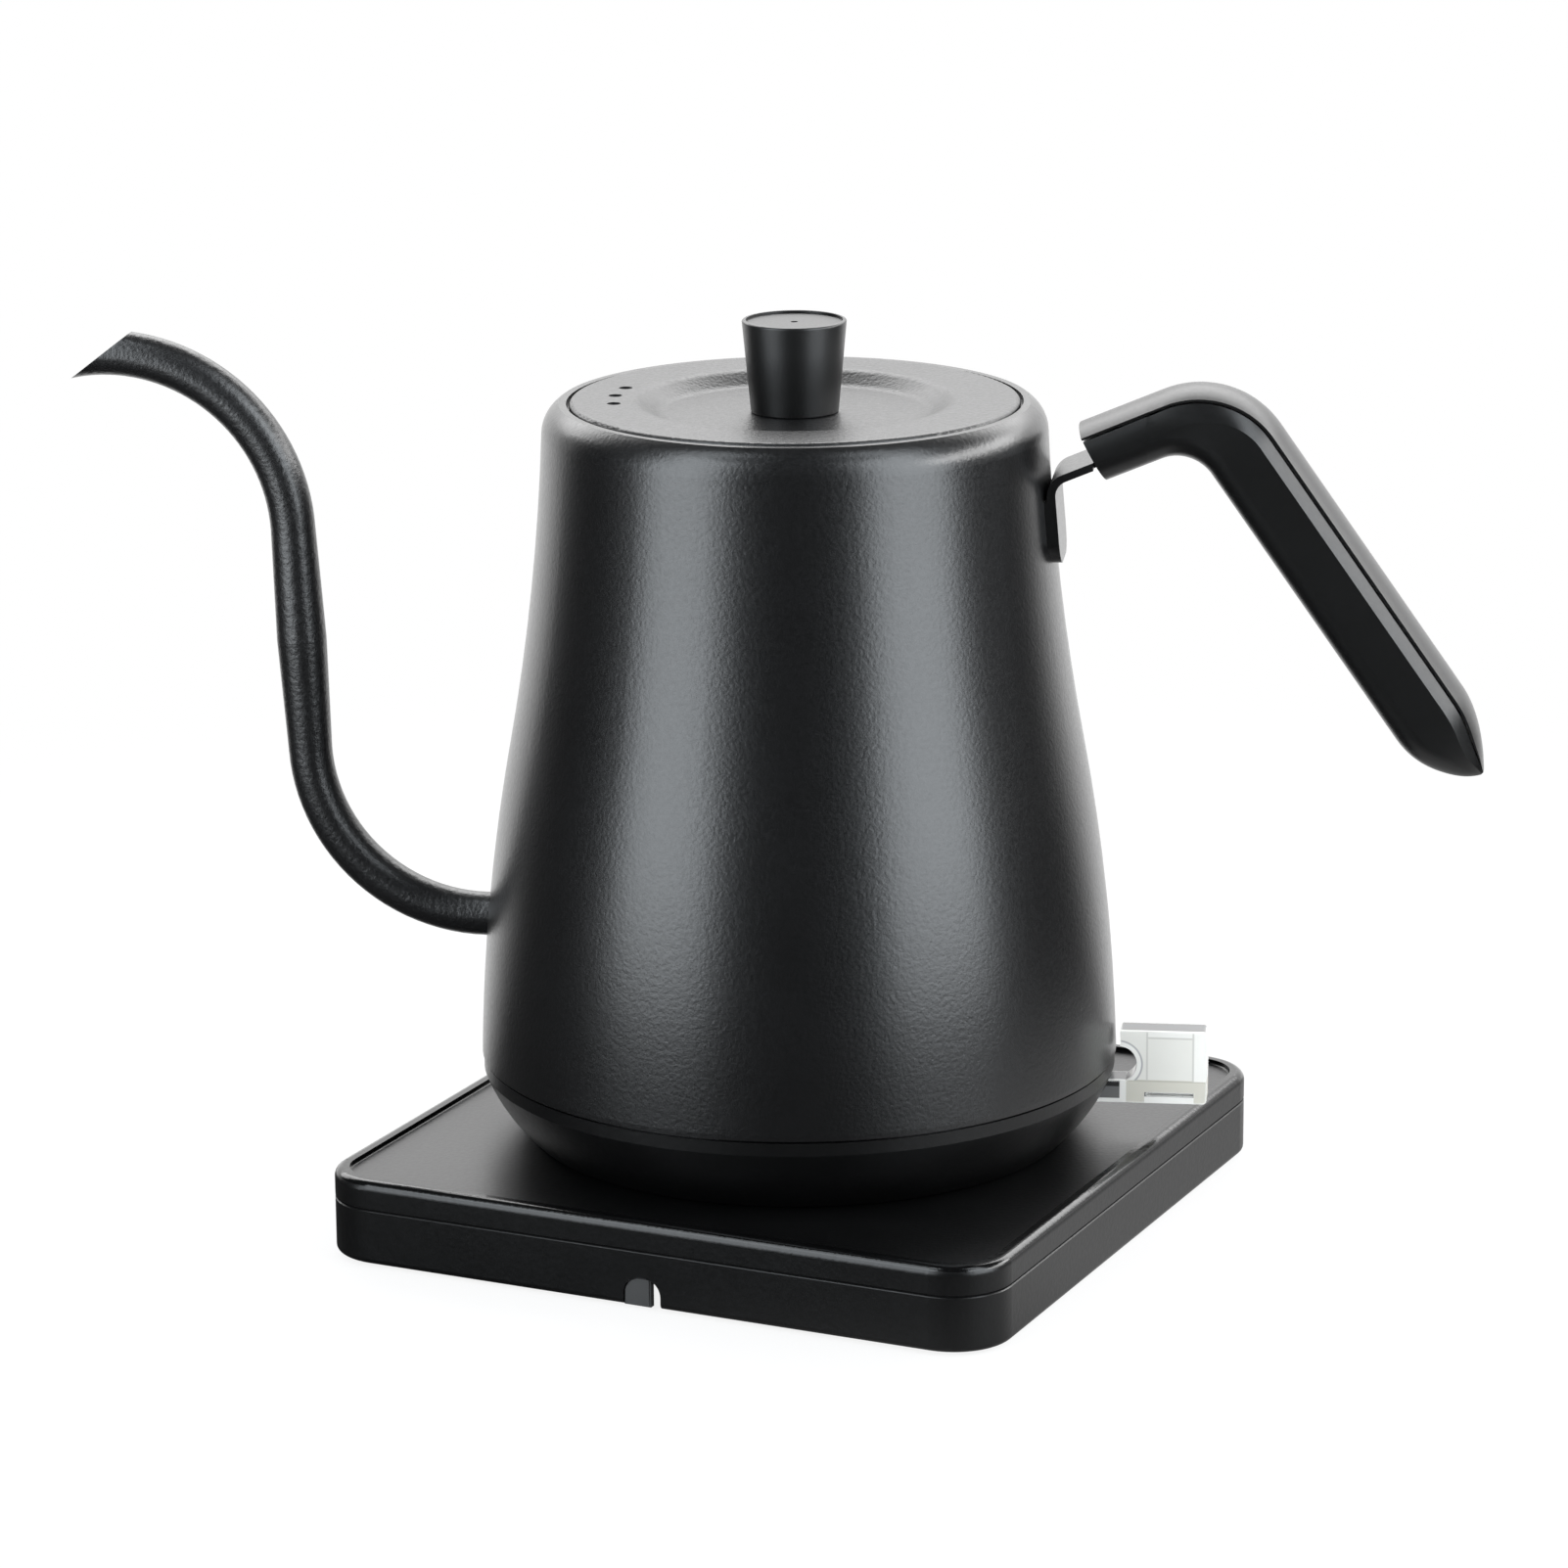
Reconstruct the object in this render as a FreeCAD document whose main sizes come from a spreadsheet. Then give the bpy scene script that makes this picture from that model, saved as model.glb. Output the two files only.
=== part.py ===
import FreeCAD, Part

import math
import os
import re

import Sketcher

# Electric gooseneck kettle on a square power base.
# Millimetres, +Z up. The origin is on the kettle's axis, on the surface that the base stands on.
# The spout points along -X and the handle along +X.

# Driving sizes
SIZES = {
    # Base
    "base_side": 145.0,
    "base_corner": 12.0,
    "base_turn": -18.3,
    "base_wall": 2.2,
    "base_seam_z": 11.7,
    "base_rim_z": 17.5,
    "base_seam_bevel": 0.35,
    "rim_width": 3.0,
    "rim_depth": 1.0,
    "rim_round": 1.8,
    "rim_inner_round": 0.5,
    "panel_thick": 2.2,
    "tray_round": 1.2,
    "tray_web": 2.2,
    "tongue_wall": 1.2,
    "tongue_depth": 2.0,
    "tongue_gap": 0.15,
    "notch_width": 8.0,
    "notch_height": 6.0,
    "notch_round": 3.6,
    "cord_rib": 1.5,
    "cord_rib_length": 10.0,
    "cord_rib_gap": 0.9,
    "hub_r": 46.0,
    "hub_rise": 0.8,
    "hub_floor": 3.0,
    "foot_r": 6.5,
    "foot_lift": 0.4,
    "foot_sunk": 1.6,
    "foot_inset": 15.0,
    "foot_boss_wall": 2.0,
    "base_post_r": 4.0,
    "base_post_inset": 7.8,
    # Round connector
    "turret_r": 16.0,
    "turret_height": 8.0,
    "turret_round": 1.2,
    "turret_gap": 0.2,
    "turret_flange_r": 24.0,
    "turret_flange": 2.2,
    "slot_floor_rise": 0.3,
    "slot_in_r": 9.0,
    "slot_out_r": 12.0,
    "pin_hole_r": 3.6,
    "contact_gap": 0.3,
    "contact_ring_height": 2.6,
    "cup_height": 3.0,
    "cup_floor": 1.0,
    "tab_width": 6.3,
    "tab_thick": 0.8,
    "tab_length": 7.0,
    "tab_ring_r": 10.5,
    "flange_screw_ring_r": 20.0,
    "socket_r": 14.0,
    "socket_thick": 3.0,
    "socket_lift": 0.5,
    "socket_pin_r": 1.9,
    "socket_pin_head": 1.0,
    "socket_ring_r": 11.0,
    "socket_ring_wall": 1.0,
    "socket_ring_sunk": 1.5,
    "swivel_gap": 0.3,
    # Screws
    "screw_r": 1.35,
    "screw_head_r": 2.9,
    "screw_head": 1.5,
    "screw_gap": 0.25,
    "screw_bite": 7.0,
    "small_screw_r": 1.1,
    "small_head_r": 2.1,
    "small_head": 1.4,
    "small_bite": 1.5,
    # Body of the kettle
    "steel_wall": 1.0,
    "vessel_r": 64.1,
    "vessel_seam_z": 33.3,
    "vessel_hem": 1.0,
    "belly_curve": 403.0,
    "waist_inset": 6.8,
    "waist_z": 96.8,
    "shoulder_round": 7.0,
    "rim_inset": 21.1,
    "rim_z": 166.5,
    "rim_land": 0.95,
    "lip_depth": 10.0,
    # Bottom cover
    "cover_inset": 0.3,
    "cover_gap": 0.5,
    "cover_band": 2.6,
    "cover_curve": 34.0,
    "cover_wall": 2.2,
    "cover_plate": 2.4,
    "cover_tongue": 3.0,
    "cover_tongue_gap": 0.2,
    "kettle_foot_inset": 9.6,
    "kettle_foot_width": 4.0,
    "kettle_foot_rise": 1.5,
    "kettle_lift": 0.3,
    "collar_wall": 1.6,
    "collar_height": 6.0,
    # Heater and control
    "floor_z": 39.0,
    "floor_thick": 0.8,
    "spreader_r": 48.0,
    "spreader_thick": 3.2,
    "boss_r": 3.4,
    "boss_ring_r": 31.2,
    "element_ring_r": 40.2,
    "element_r": 3.3,
    "element_arc": 300.0,
    "terminal_r": 1.6,
    "terminal_arc": 9.0,
    "control_r": 21.0,
    "control_gap": 0.3,
    "control_flange_r": 26.6,
    "control_flange": 2.0,
    "control_well_gap": 1.0,
    "control_screw_ring_r": 23.8,
    "bimetal_r": 9.5,
    "bimetal_thick": 1.2,
    "lamp_r": 2.2,
    "lamp_round": 2.0,
    "lamp_height": 7.0,
    "lamp_inset": 19.1,
    "lamp_y": 9.0,
    # Spout
    "spout_root_r": 4.4,
    "spout_r": 5.0,
    "spout_mouth_r": 4.48,
    "spout_wall": 0.8,
    "spout_z": 58.7,
    "spout_root_inset": 0.6,
    "spout_low_bend": 35.6,
    "spout_lean": 2.83,
    "spout_run": 45.6,
    "spout_high_bend": 36.8,
    "spout_droop": 18.0,
    "spout_cut_angle": 37.4,
    "spout_cut_reach": 7.1,
    "spout_cut_rise": 31.7,
    # Handle
    "handle_stand": 14.62,
    "handle_corner_z": 158.7,
    "handle_rise": 22.5,
    "handle_top_length": 18.13,
    "handle_end_skew": 1.5,
    "handle_top_thick": 11.65,
    "handle_top_width": 18.0,
    "handle_inner_bend": 8.1,
    "grip_slope": 55.0,
    "grip_length": 70.25,
    "grip_thick": 15.7,
    "grip_width": 20.0,
    "handle_outer_bend": 19.2,
    "handle_bend_lead": 3.0,
    "handle_seam": 2.4,
    "handle_seam_gap": 0.4,
    "handle_brim": 0.45,
    "handle_tuck": 0.9,
    "handle_flank": 4.5,
    "grip_seam": 2.05,
    "grip_tuck": 2.0,
    "grip_facet": 2.1,
    "handle_edge": 4.5,
    "tip_length": 16.5,
    "tip_offset": 9.7,
    "tip_inner_pull": 0.62,
    "tip_outer_pull": 0.45,
    "handle_screw_sunk": 0.4,
    "handle_screw_cover": 0.8,
    "handle_screw_first": 5.0,
    "handle_screw_pitch": 8.0,
    # Handle strap
    "strap_thick": 1.5,
    "strap_sunk": 4.5,
    "strap_width": 18.0,
    "strap_low_z": 134.9,
    "strap_bend": 3.2,
    "strap_corner": 5.0,
    "strap_tongue": 19.0,
    "strap_tongue_width": 12.0,
    "strap_gap": 0.1,
    # Lid
    "lid_reach": 1.45,
    "lid_seat": 2.55,
    "lid_gap": 0.6,
    "lid_z": 165.95,
    "lid_wall": 1.0,
    "lid_edge": 1.4,
    "lid_round": 0.9,
    "lid_lift": 0.3,
    "lid_step_inset": 12.95,
    "lid_step_run": 5.0,
    "lid_dish_depth": 2.5,
    "lid_step_round": 4.5,
    "vent_r": 1.35,
    "vent_inset": 8.75,
    "vent_pitch": 13.0,
    "liner_gap": 0.9,
    "liner_depth": 12.0,
    "seal_height": 2.6,
    "seal_depth": 0.8,
    "seal_rise": 3.2,
    "seal_gap": 0.08,
    "seal_lip_gap": 0.35,
    "steam_hole_r": 2.0,
    "steam_ring_r": 25.0,
    # Knob
    "knob_low_r": 8.65,
    "knob_top_r": 10.35,
    "knob_height": 18.3,
    "knob_round": 0.4,
    "knob_rim": 0.8,
    "cap_thick": 1.1,
    "cap_sunk": 0.5,
    "dimple_r": 0.7,
    "dimple_depth": 0.4,
    "knob_screw_r": 1.9,
    "knob_screw_length": 11.0,
    "knob_screw_head_r": 3.5,
    "knob_screw_head": 2.0,
    "washer_r": 5.0,
    "washer_thick": 0.8,
    # Switch lever
    "lever_width": 6.0,
    "lever_gap": 0.5,
    "lever_reach": 18.5,
    "lever_top_z": 38.5,
    "lever_low_z": 23.5,
    "lever_wall_gap": 1.1,
    "lever_arm": 3.2,
    "lever_notch_r": 3.75,
    "lever_lower_arm": 4.6,
    "lever_wall": 1.3,
    "lever_round": 0.8,
    "lever_block": 6.5,
    "lever_groove": 0.5,
    "lever_groove_z": 1.6,
    "lever_groove_inset": 2.7,
    "pivot_inset": 9.1,
    "pivot_z": 25.8,
    "pivot_hub_r": 2.6,
    "pivot_pin_r": 1.0,
    "pivot_gap": 0.05,
    "pin_gap": 0.02,
    "lug_wall": 2.0,
    "lug_reach": 2.3,
    "lever_slot_low": 4.4,
    "lever_slot_high": 3.6,
    "spring_thick": 0.4,
    "spring_width": 4.0,
    "spring_length": 6.0,
    "spring_gap": 0.3,
}

# Expressions that more than one piece uses
PANEL_Z = "(base_rim_z - rim_depth)"
PANEL_UNDER = f"({PANEL_Z} - panel_thick)"
WEB_TOP = "(base_seam_z - tongue_depth - 2 * tongue_gap)"
WEB_LOW = f"({WEB_TOP} - tray_web)"
HUB_LOW = "(foot_lift + hub_rise)"
HUB_TOP = f"({HUB_LOW} + hub_floor)"
TURRET_TOP = f"({PANEL_Z} + turret_height)"
FLANGE_LOW = f"({PANEL_UNDER} - turret_flange)"
SLOT_FLOOR = f"({PANEL_UNDER} + slot_floor_rise)"
SOCKET_LOW = f"({TURRET_TOP} + socket_lift)"
SOCKET_TOP = f"({SOCKET_LOW} + socket_thick)"
KETTLE_FOOT = f"({PANEL_Z} + kettle_lift)"
PLATE_LOW = f"({KETTLE_FOOT} + kettle_foot_rise)"
PLATE_TOP = f"({PLATE_LOW} + cover_plate)"
COVER_TOP = "(vessel_seam_z - cover_gap)"
WAIST_R = "(vessel_r - waist_inset)"
RIM_R = "(vessel_r - rim_inset)"
LID_R = f"({RIM_R} + lid_reach)"
LIP_R = f"({LID_R} - lid_seat)"
COVER_R = "(vessel_r - cover_inset)"
KETTLE_FOOT_R = "(vessel_r - kettle_foot_inset)"
PIVOT_X = "(vessel_r - pivot_inset)"
LEVER_END_X = "(vessel_r + lever_reach)"
HANDLE_X = "(vessel_r + handle_stand)"
COVER_TONGUE_R = "(vessel_r - steel_wall - cover_tongue_gap)"
SPREADER_LOW = "(floor_z - spreader_thick)"
CONTROL_TOP = f"({SPREADER_LOW} - bimetal_thick)"
COLLAR_R = "(control_r + control_gap)"
SEAT_R = f"({LID_R} + lid_gap)"
SEAT_Z = "(lid_z - lid_edge - lid_lift)"
DISH_Z = "(lid_z - lid_dish_depth)"
DISH_LOW = f"({DISH_Z} - lid_wall)"
LINER_R = f"({LIP_R} - liner_gap)"
LINER_TOP = "(lid_z - lid_wall)"
LINER_LOW = f"({LINER_TOP} - liner_depth)"
KNOB_TOP = f"({DISH_Z} + knob_height)"
OVERCUT = 1.0
NEAR = 1e-6

MATHS = {"sin", "cos", "tan", "sqrt"}

doc = FreeCAD.newDocument("GooseneckKettle")
sheet = doc.addObject("Spreadsheet::Sheet", "Sizes")
for row, (alias, number) in enumerate(SIZES.items(), start=1):
    sheet.set(f"A{row}", alias)
    sheet.set(f"B{row}", str(number))
    sheet.setAlias(f"B{row}", alias)
doc.recompute()

nodes = []
readings = []


def size(text):
    """The number that an expression of size names stands for."""
    return float(sheet.evalExpression(str(text)))


def measured(alias, number):
    """A size read off a finished shape, kept in the sheet after the driving sizes."""
    row = len(SIZES) + len(readings) + 1
    readings.append(alias)
    sheet.set(f"A{row}", alias)
    sheet.set(f"B{row}", str(number))
    sheet.setAlias(f"B{row}", alias)
    doc.recompute()
    return alias


def bound(text):
    """The same expression, with each size name written as a reference to the sheet."""
    def reference(match):
        word = match.group()
        return word if word in MATHS else "Sizes." + word
    return re.sub(r"[a-z][a-z_]*", reference, str(text))


def node(thing, label):
    """Keep a finished piece under its own name."""
    thing.Label = label
    nodes.append(thing)
    return thing


def seat(thing, x="0", y="0", z="0", turn="0"):
    """Place a piece, turned about the kettle's axis by the angle given."""
    thing.setExpression("Placement.Base.x", bound(f"({x}) * cos({turn}) - ({y}) * sin({turn})"))
    thing.setExpression("Placement.Base.y", bound(f"({x}) * sin({turn}) + ({y}) * cos({turn})"))
    thing.setExpression("Placement.Base.z", bound(z))
    thing.Placement.Rotation = FreeCAD.Rotation(FreeCAD.Vector(0, 0, 1), 1)
    thing.setExpression("Placement.Rotation.Angle", bound(turn))
    return thing


# Sketches
def origin_plane(body, role):
    """One of a body's own origin planes."""
    return [plane for plane in body.Origin.OriginFeatures if plane.Role == role][0]


def corner_round(before, corner, after, radius):
    """Where a rounding of this radius leaves both sides of a corner, and its centre."""
    into = (before - corner).normalize()
    out = (after - corner).normalize()
    half = into.getAngle(out) / 2
    reach = radius / math.tan(half)
    middle = (into + out).normalize() * (radius / math.sin(half))
    return corner + into * reach, corner + out * reach, corner + middle


def arc_between(start, end, centre):
    """An arc about a centre, the short way round, and which of its ends is at start."""
    first = math.atan2(start.y - centre.y, start.x - centre.x)
    last = math.atan2(end.y - centre.y, end.x - centre.x)
    radius = (start - centre).Length
    circle = Part.Circle(centre, FreeCAD.Vector(0, 0, 1), radius)
    forward = (last - first) % (2 * math.pi) < math.pi
    if forward:
        return Part.ArcOfCircle(circle, first, last), 1, 2
    return Part.ArcOfCircle(circle, last, first), 2, 1


def arc_centre(start, end, radius, side):
    """Centre of an arc of this radius: to the left of the way from start to end, or to its right."""
    middle = (start + end) * 0.5
    along = (end - start).normalize()
    left = FreeCAD.Vector(-along.y, along.x, 0)
    rise = math.sqrt(max(radius ** 2 - ((end - start).Length / 2) ** 2, 0.0))
    return middle + left * (rise if side == "left" else -rise)


def draw(body, role, path, height=None):
    """A closed outline on a body's plane, every size of which follows the sheet.

    The path lists corners as (x, y), or (x, y, rounding). A pair such as ("left", radius)
    between two corners makes that side an arc, with its centre to the left or right of the way.
    """
    sketch = body.newObject("Sketcher::SketchObject", body.Label + "_outline")
    sketch.AttachmentSupport = [(origin_plane(body, role), "")]
    sketch.MapMode = "FlatFace"
    if height is not None:
        sketch.setExpression("AttachmentOffset.Base.z", bound(height))
    corners = []
    arcs = {}
    for entry in path:
        if entry[0] in ("left", "right"):
            arcs[len(corners) - 1] = entry
        else:
            corners.append(entry)
    places = [FreeCAD.Vector(size(c[0]), size(c[1]), 0) for c in corners]
    count = len(corners)
    leave = list(places)
    arrive = list(places)
    centres = {}
    for i, corner in enumerate(corners):
        if len(corner) == 3:
            ends = corner_round(places[i - 1], places[i], places[(i + 1) % count], size(corner[2]))
            arrive[i], leave[i], centres[i] = ends
    sides = []
    for i in range(count):
        start = leave[i]
        end = arrive[(i + 1) % count]
        if i in arcs:
            middle = arc_centre(start, end, size(arcs[i][1]), arcs[i][0])
            shape, first, last = arc_between(start, end, middle)
        else:
            shape, first, last = Part.LineSegment(start, end), 1, 2
        sides.append((sketch.addGeometry(shape, False), first, last))
    for i, corner in enumerate(corners):
        came, _, came_end = sides[i - 1]
        goes, goes_end, _ = sides[i]
        if len(corner) == 3:
            shape, first, last = arc_between(arrive[i], leave[i], centres[i])
            turn = sketch.addGeometry(shape, False)
            sketch.addConstraint(Sketcher.Constraint("Tangent", came, came_end, turn, first))
            sketch.addConstraint(Sketcher.Constraint("Tangent", turn, last, goes, goes_end))
            held = sketch.addConstraint(Sketcher.Constraint("Radius", turn, size(corner[2])))
            sketch.setExpression(f"Constraints[{held}]", bound(corner[2]))
            point = sketch.addGeometry(Part.Point(places[i]), True)
            sketch.addConstraint(Sketcher.Constraint("PointOnObject", point, 1, came))
            sketch.addConstraint(Sketcher.Constraint("PointOnObject", point, 1, goes))
            pin_point(sketch, point, 1, corner)
        else:
            sketch.addConstraint(Sketcher.Constraint("Coincident", came, came_end, goes, goes_end))
            pin_point(sketch, goes, goes_end, corner)
    for i, (_, radius) in arcs.items():
        held = sketch.addConstraint(Sketcher.Constraint("Radius", sides[i][0], size(radius)))
        sketch.setExpression(f"Constraints[{held}]", bound(radius))
    return sketch


def pin_point(sketch, geometry, end, corner):
    """Hold a point of a sketch at the two expressions of a corner."""
    for kind, text, axis in (("DistanceX", corner[0], -2), ("DistanceY", corner[1], -1)):
        if text == "0":
            sketch.addConstraint(Sketcher.Constraint("PointOnObject", geometry, end, axis))
        else:
            held = sketch.addConstraint(Sketcher.Constraint(kind, -1, 1, geometry, end, size(text)))
            sketch.setExpression(f"Constraints[{held}]", bound(text))


# Ways of making a piece
def new_body(label):
    """An empty body."""
    body = doc.addObject("PartDesign::Body", label)
    body.Label = label
    return body


def turned(label, path):
    """A piece turned about the kettle's axis, from its half section in (radius, height)."""
    body = new_body(label)
    sketch = draw(body, "XZ_Plane", path)
    revolution = body.newObject("PartDesign::Revolution", label + "_turned")
    revolution.Profile = sketch
    revolution.ReferenceAxis = (sketch, ["V_Axis"])
    revolution.Angle = 360
    doc.recompute()
    return body


def prism(label, path, low, high):
    """An upright piece with an outline in (x, y), from one height to another."""
    body = new_body(label)
    sketch = draw(body, "XY_Plane", path, low)
    pad = body.newObject("PartDesign::Pad", label + "_pad")
    pad.Profile = sketch
    pad.setExpression("Length", bound(f"({high}) - ({low})"))
    doc.recompute()
    return body


def slab(label, path, width):
    """A piece with an outline in (x, z), of equal width to both sides of the kettle's middle plane."""
    body = new_body(label)
    sketch = draw(body, "XZ_Plane", path)
    pad = body.newObject("PartDesign::Pad", label + "_pad")
    pad.Profile = sketch
    pad.SideType = "Symmetric"
    pad.setExpression("Length", bound(width))
    doc.recompute()
    return body


def rounded_square(label, side, corner, low, high):
    """An upright square piece with round corners, turned with the base."""
    half = f"({side}) / 2"
    path = [(f"-{half}", f"-{half}", corner), (half, f"-{half}", corner),
            (half, half, corner), (f"-{half}", half, corner)]
    return seat(prism(label, path, low, high), turn="base_turn")


def level_edges(shape, height):
    """Names of a shape's edges that lie at one height."""
    names = []
    for i, edge in enumerate(shape.Edges, start=1):
        box = edge.BoundBox
        if abs(box.ZMin - height) < NEAR and abs(box.ZMax - height) < NEAR:
            names.append(f"Edge{i}")
    return names


def dress(body, kind, edges, amount):
    """Round or bevel some edges of a body."""
    feature = body.newObject(f"PartDesign::{kind}", f"{body.Label}_{kind.lower()}")
    feature.Base = (body.Tip if feature.BaseFeature is None else feature.BaseFeature, edges)
    feature.setExpression("Radius" if kind == "Fillet" else "Size", bound(amount))
    doc.recompute()
    return body


def cylinder(label, radius, low, high, x="0", y="0", turn="0"):
    """An upright cylinder."""
    tool = doc.addObject("Part::Cylinder", label)
    tool.setExpression("Radius", bound(radius))
    tool.setExpression("Height", bound(f"({high}) - ({low})"))
    return seat(tool, x, y, low, turn)


def across(label, radius, length, x, z):
    """A cylinder across the kettle, with its middle on the middle plane."""
    tool = doc.addObject("Part::Cylinder", label)
    tool.setExpression("Radius", bound(radius))
    tool.setExpression("Height", bound(length))
    tool.Placement.Rotation = FreeCAD.Rotation(FreeCAD.Vector(1, 0, 0), -90)
    tool.setExpression("Placement.Base.x", bound(x))
    tool.setExpression("Placement.Base.y", bound(f"-({length}) / 2"))
    tool.setExpression("Placement.Base.z", bound(z))
    return tool


def block(label, x_span, y_span, z_span, turn="0"):
    """A box between two values on each axis."""
    tool = doc.addObject("Part::Box", label)
    for name, span in (("Length", x_span), ("Width", y_span), ("Height", z_span)):
        tool.setExpression(name, bound(f"({span[1]}) - ({span[0]})"))
    return seat(tool, x_span[0], y_span[0], z_span[0], turn)


def fuse(label, things):
    """Several shapes joined into one."""
    result = doc.addObject("Part::MultiFuse", label)
    result.Shapes = things
    doc.recompute()
    return result


def cut(label, thing, tools):
    """A shape with one or more others cut out of it."""
    result = doc.addObject("Part::Cut", label)
    result.Base = thing
    result.Tool = tools[0] if len(tools) == 1 else fuse(label + "_tools", tools)
    doc.recompute()
    return result


def common(label, things):
    """What several shapes share."""
    result = doc.addObject("Part::MultiCommon", label)
    result.Shapes = things
    doc.recompute()
    return result


def group(label, things):
    """Separate solids of one kind, kept together."""
    result = doc.addObject("Part::Compound", label)
    result.Links = things
    doc.recompute()
    return result


def feature(label, shape):
    """A piece whose shape comes from Part's own functions."""
    result = doc.addObject("Part::Feature", label)
    result.Shape = shape
    return result


def screw(label, radius, head_r, head, length, x, y, low, turn="0"):
    """A screw that points up, with its head's underside at the height given."""
    body = turned(label, [("0", "0"), (head_r, "0"), (head_r, head), (radius, head),
                          (radius, f"{head} + {length}"), ("0", f"{head} + {length}")])
    return seat(body, x, y, low, turn)


def ring_places(ring_r, count, first):
    """Places evenly spaced round the axis, as expressions in x and y."""
    step = 360 / count
    angles = [first + step * i for i in range(count)]
    return [(f"{ring_r} * cos({angle})", f"{ring_r} * sin({angle})") for angle in angles]


def corner_places(offset):
    """The four corners of a square about the axis."""
    return [(f"{sx} * ({offset})", f"{sy} * ({offset})") for sx in (-1, 1) for sy in (-1, 1)]


BASE = "base_turn"
FOOT_PLACES = corner_places("base_side / 2 - foot_inset")
POST_PLACES = ring_places("(hub_r - base_post_inset)", 4, 45)
FLANGE_PLACES = ring_places("flange_screw_ring_r", 3, 30)
BOSS_PLACES = ring_places("boss_ring_r", 3, 60)
CONTROL_PLACES = ring_places("control_screw_ring_r", 3, 0)


# Base tray: a shallow shell with a cord channel under it, a hub for the wiring and four foot bosses
def make_base_tray():
    inner = "base_side - 2 * base_wall"
    inner_corner = "base_corner - base_wall"
    shell = rounded_square("tray_shell", "base_side", "base_corner", "foot_lift", "base_seam_z")
    dress(shell, "Fillet", level_edges(shell.Tip.Shape, size("foot_lift")), "tray_round")
    dress(shell, "Chamfer", level_edges(shell.Tip.Shape, size("base_seam_z")), "base_seam_bevel")
    upper = rounded_square("tray_upper", inner, inner_corner, WEB_TOP, f"base_seam_z + {OVERCUT}")
    below = rounded_square("tray_below", inner, inner_corner, f"foot_lift - {OVERCUT}", WEB_LOW)
    stays = [cylinder("tray_hub", "hub_r", HUB_LOW, f"{WEB_LOW} + {OVERCUT}")]
    for x, y in FOOT_PLACES:
        stays.append(cylinder("tray_boss", "foot_r + foot_boss_wall", "foot_lift",
                              f"{WEB_LOW} + {OVERCUT}", x, y, BASE))
    rib_near = "(notch_width / 2 + cord_rib_gap)"
    wall_in = "(-base_side / 2 + base_wall)"
    for near, far in ((rib_near, f"{rib_near} + cord_rib"), (f"-{rib_near} - cord_rib", f"-{rib_near}")):
        stays.append(block("cord_rib", (near, far),
                           (f"{wall_in} - {OVERCUT}", f"{wall_in} + cord_rib_length"),
                           ("foot_lift", f"{WEB_LOW} + {OVERCUT}"), BASE))
    channel = cut("tray_channel", below, stays)
    tools = [upper, channel, cylinder("tray_well", "hub_r - base_wall", HUB_TOP, f"{WEB_TOP} + {OVERCUT}")]
    for x, y in FOOT_PLACES:
        tools.append(cylinder("foot_pocket", "foot_r", f"foot_lift - {OVERCUT}",
                              "foot_lift + foot_sunk", x, y, BASE))
    for x, y in POST_PLACES:
        tools.append(cylinder("tray_hole", "screw_r + screw_gap", f"foot_lift - {OVERCUT}",
                              f"{HUB_TOP} + {OVERCUT}", x, y, BASE))
        tools.append(cylinder("tray_sink", "screw_head_r + screw_gap", f"foot_lift - {OVERCUT}",
                              f"{HUB_LOW} + screw_head", x, y, BASE))
    half = "notch_width / 2"
    low = f"foot_lift - {OVERCUT}"
    top = "foot_lift + notch_height"
    notch = slab("cord_notch", [(f"-{half}", low), (half, low), (half, top, "notch_round"),
                                (f"-{half}", top, "notch_round")], "4 * base_wall")
    tools.append(seat(notch, "0", "-base_side / 2", "0", BASE))
    node(cut("base_tray", shell, tools), "base_tray")


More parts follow.
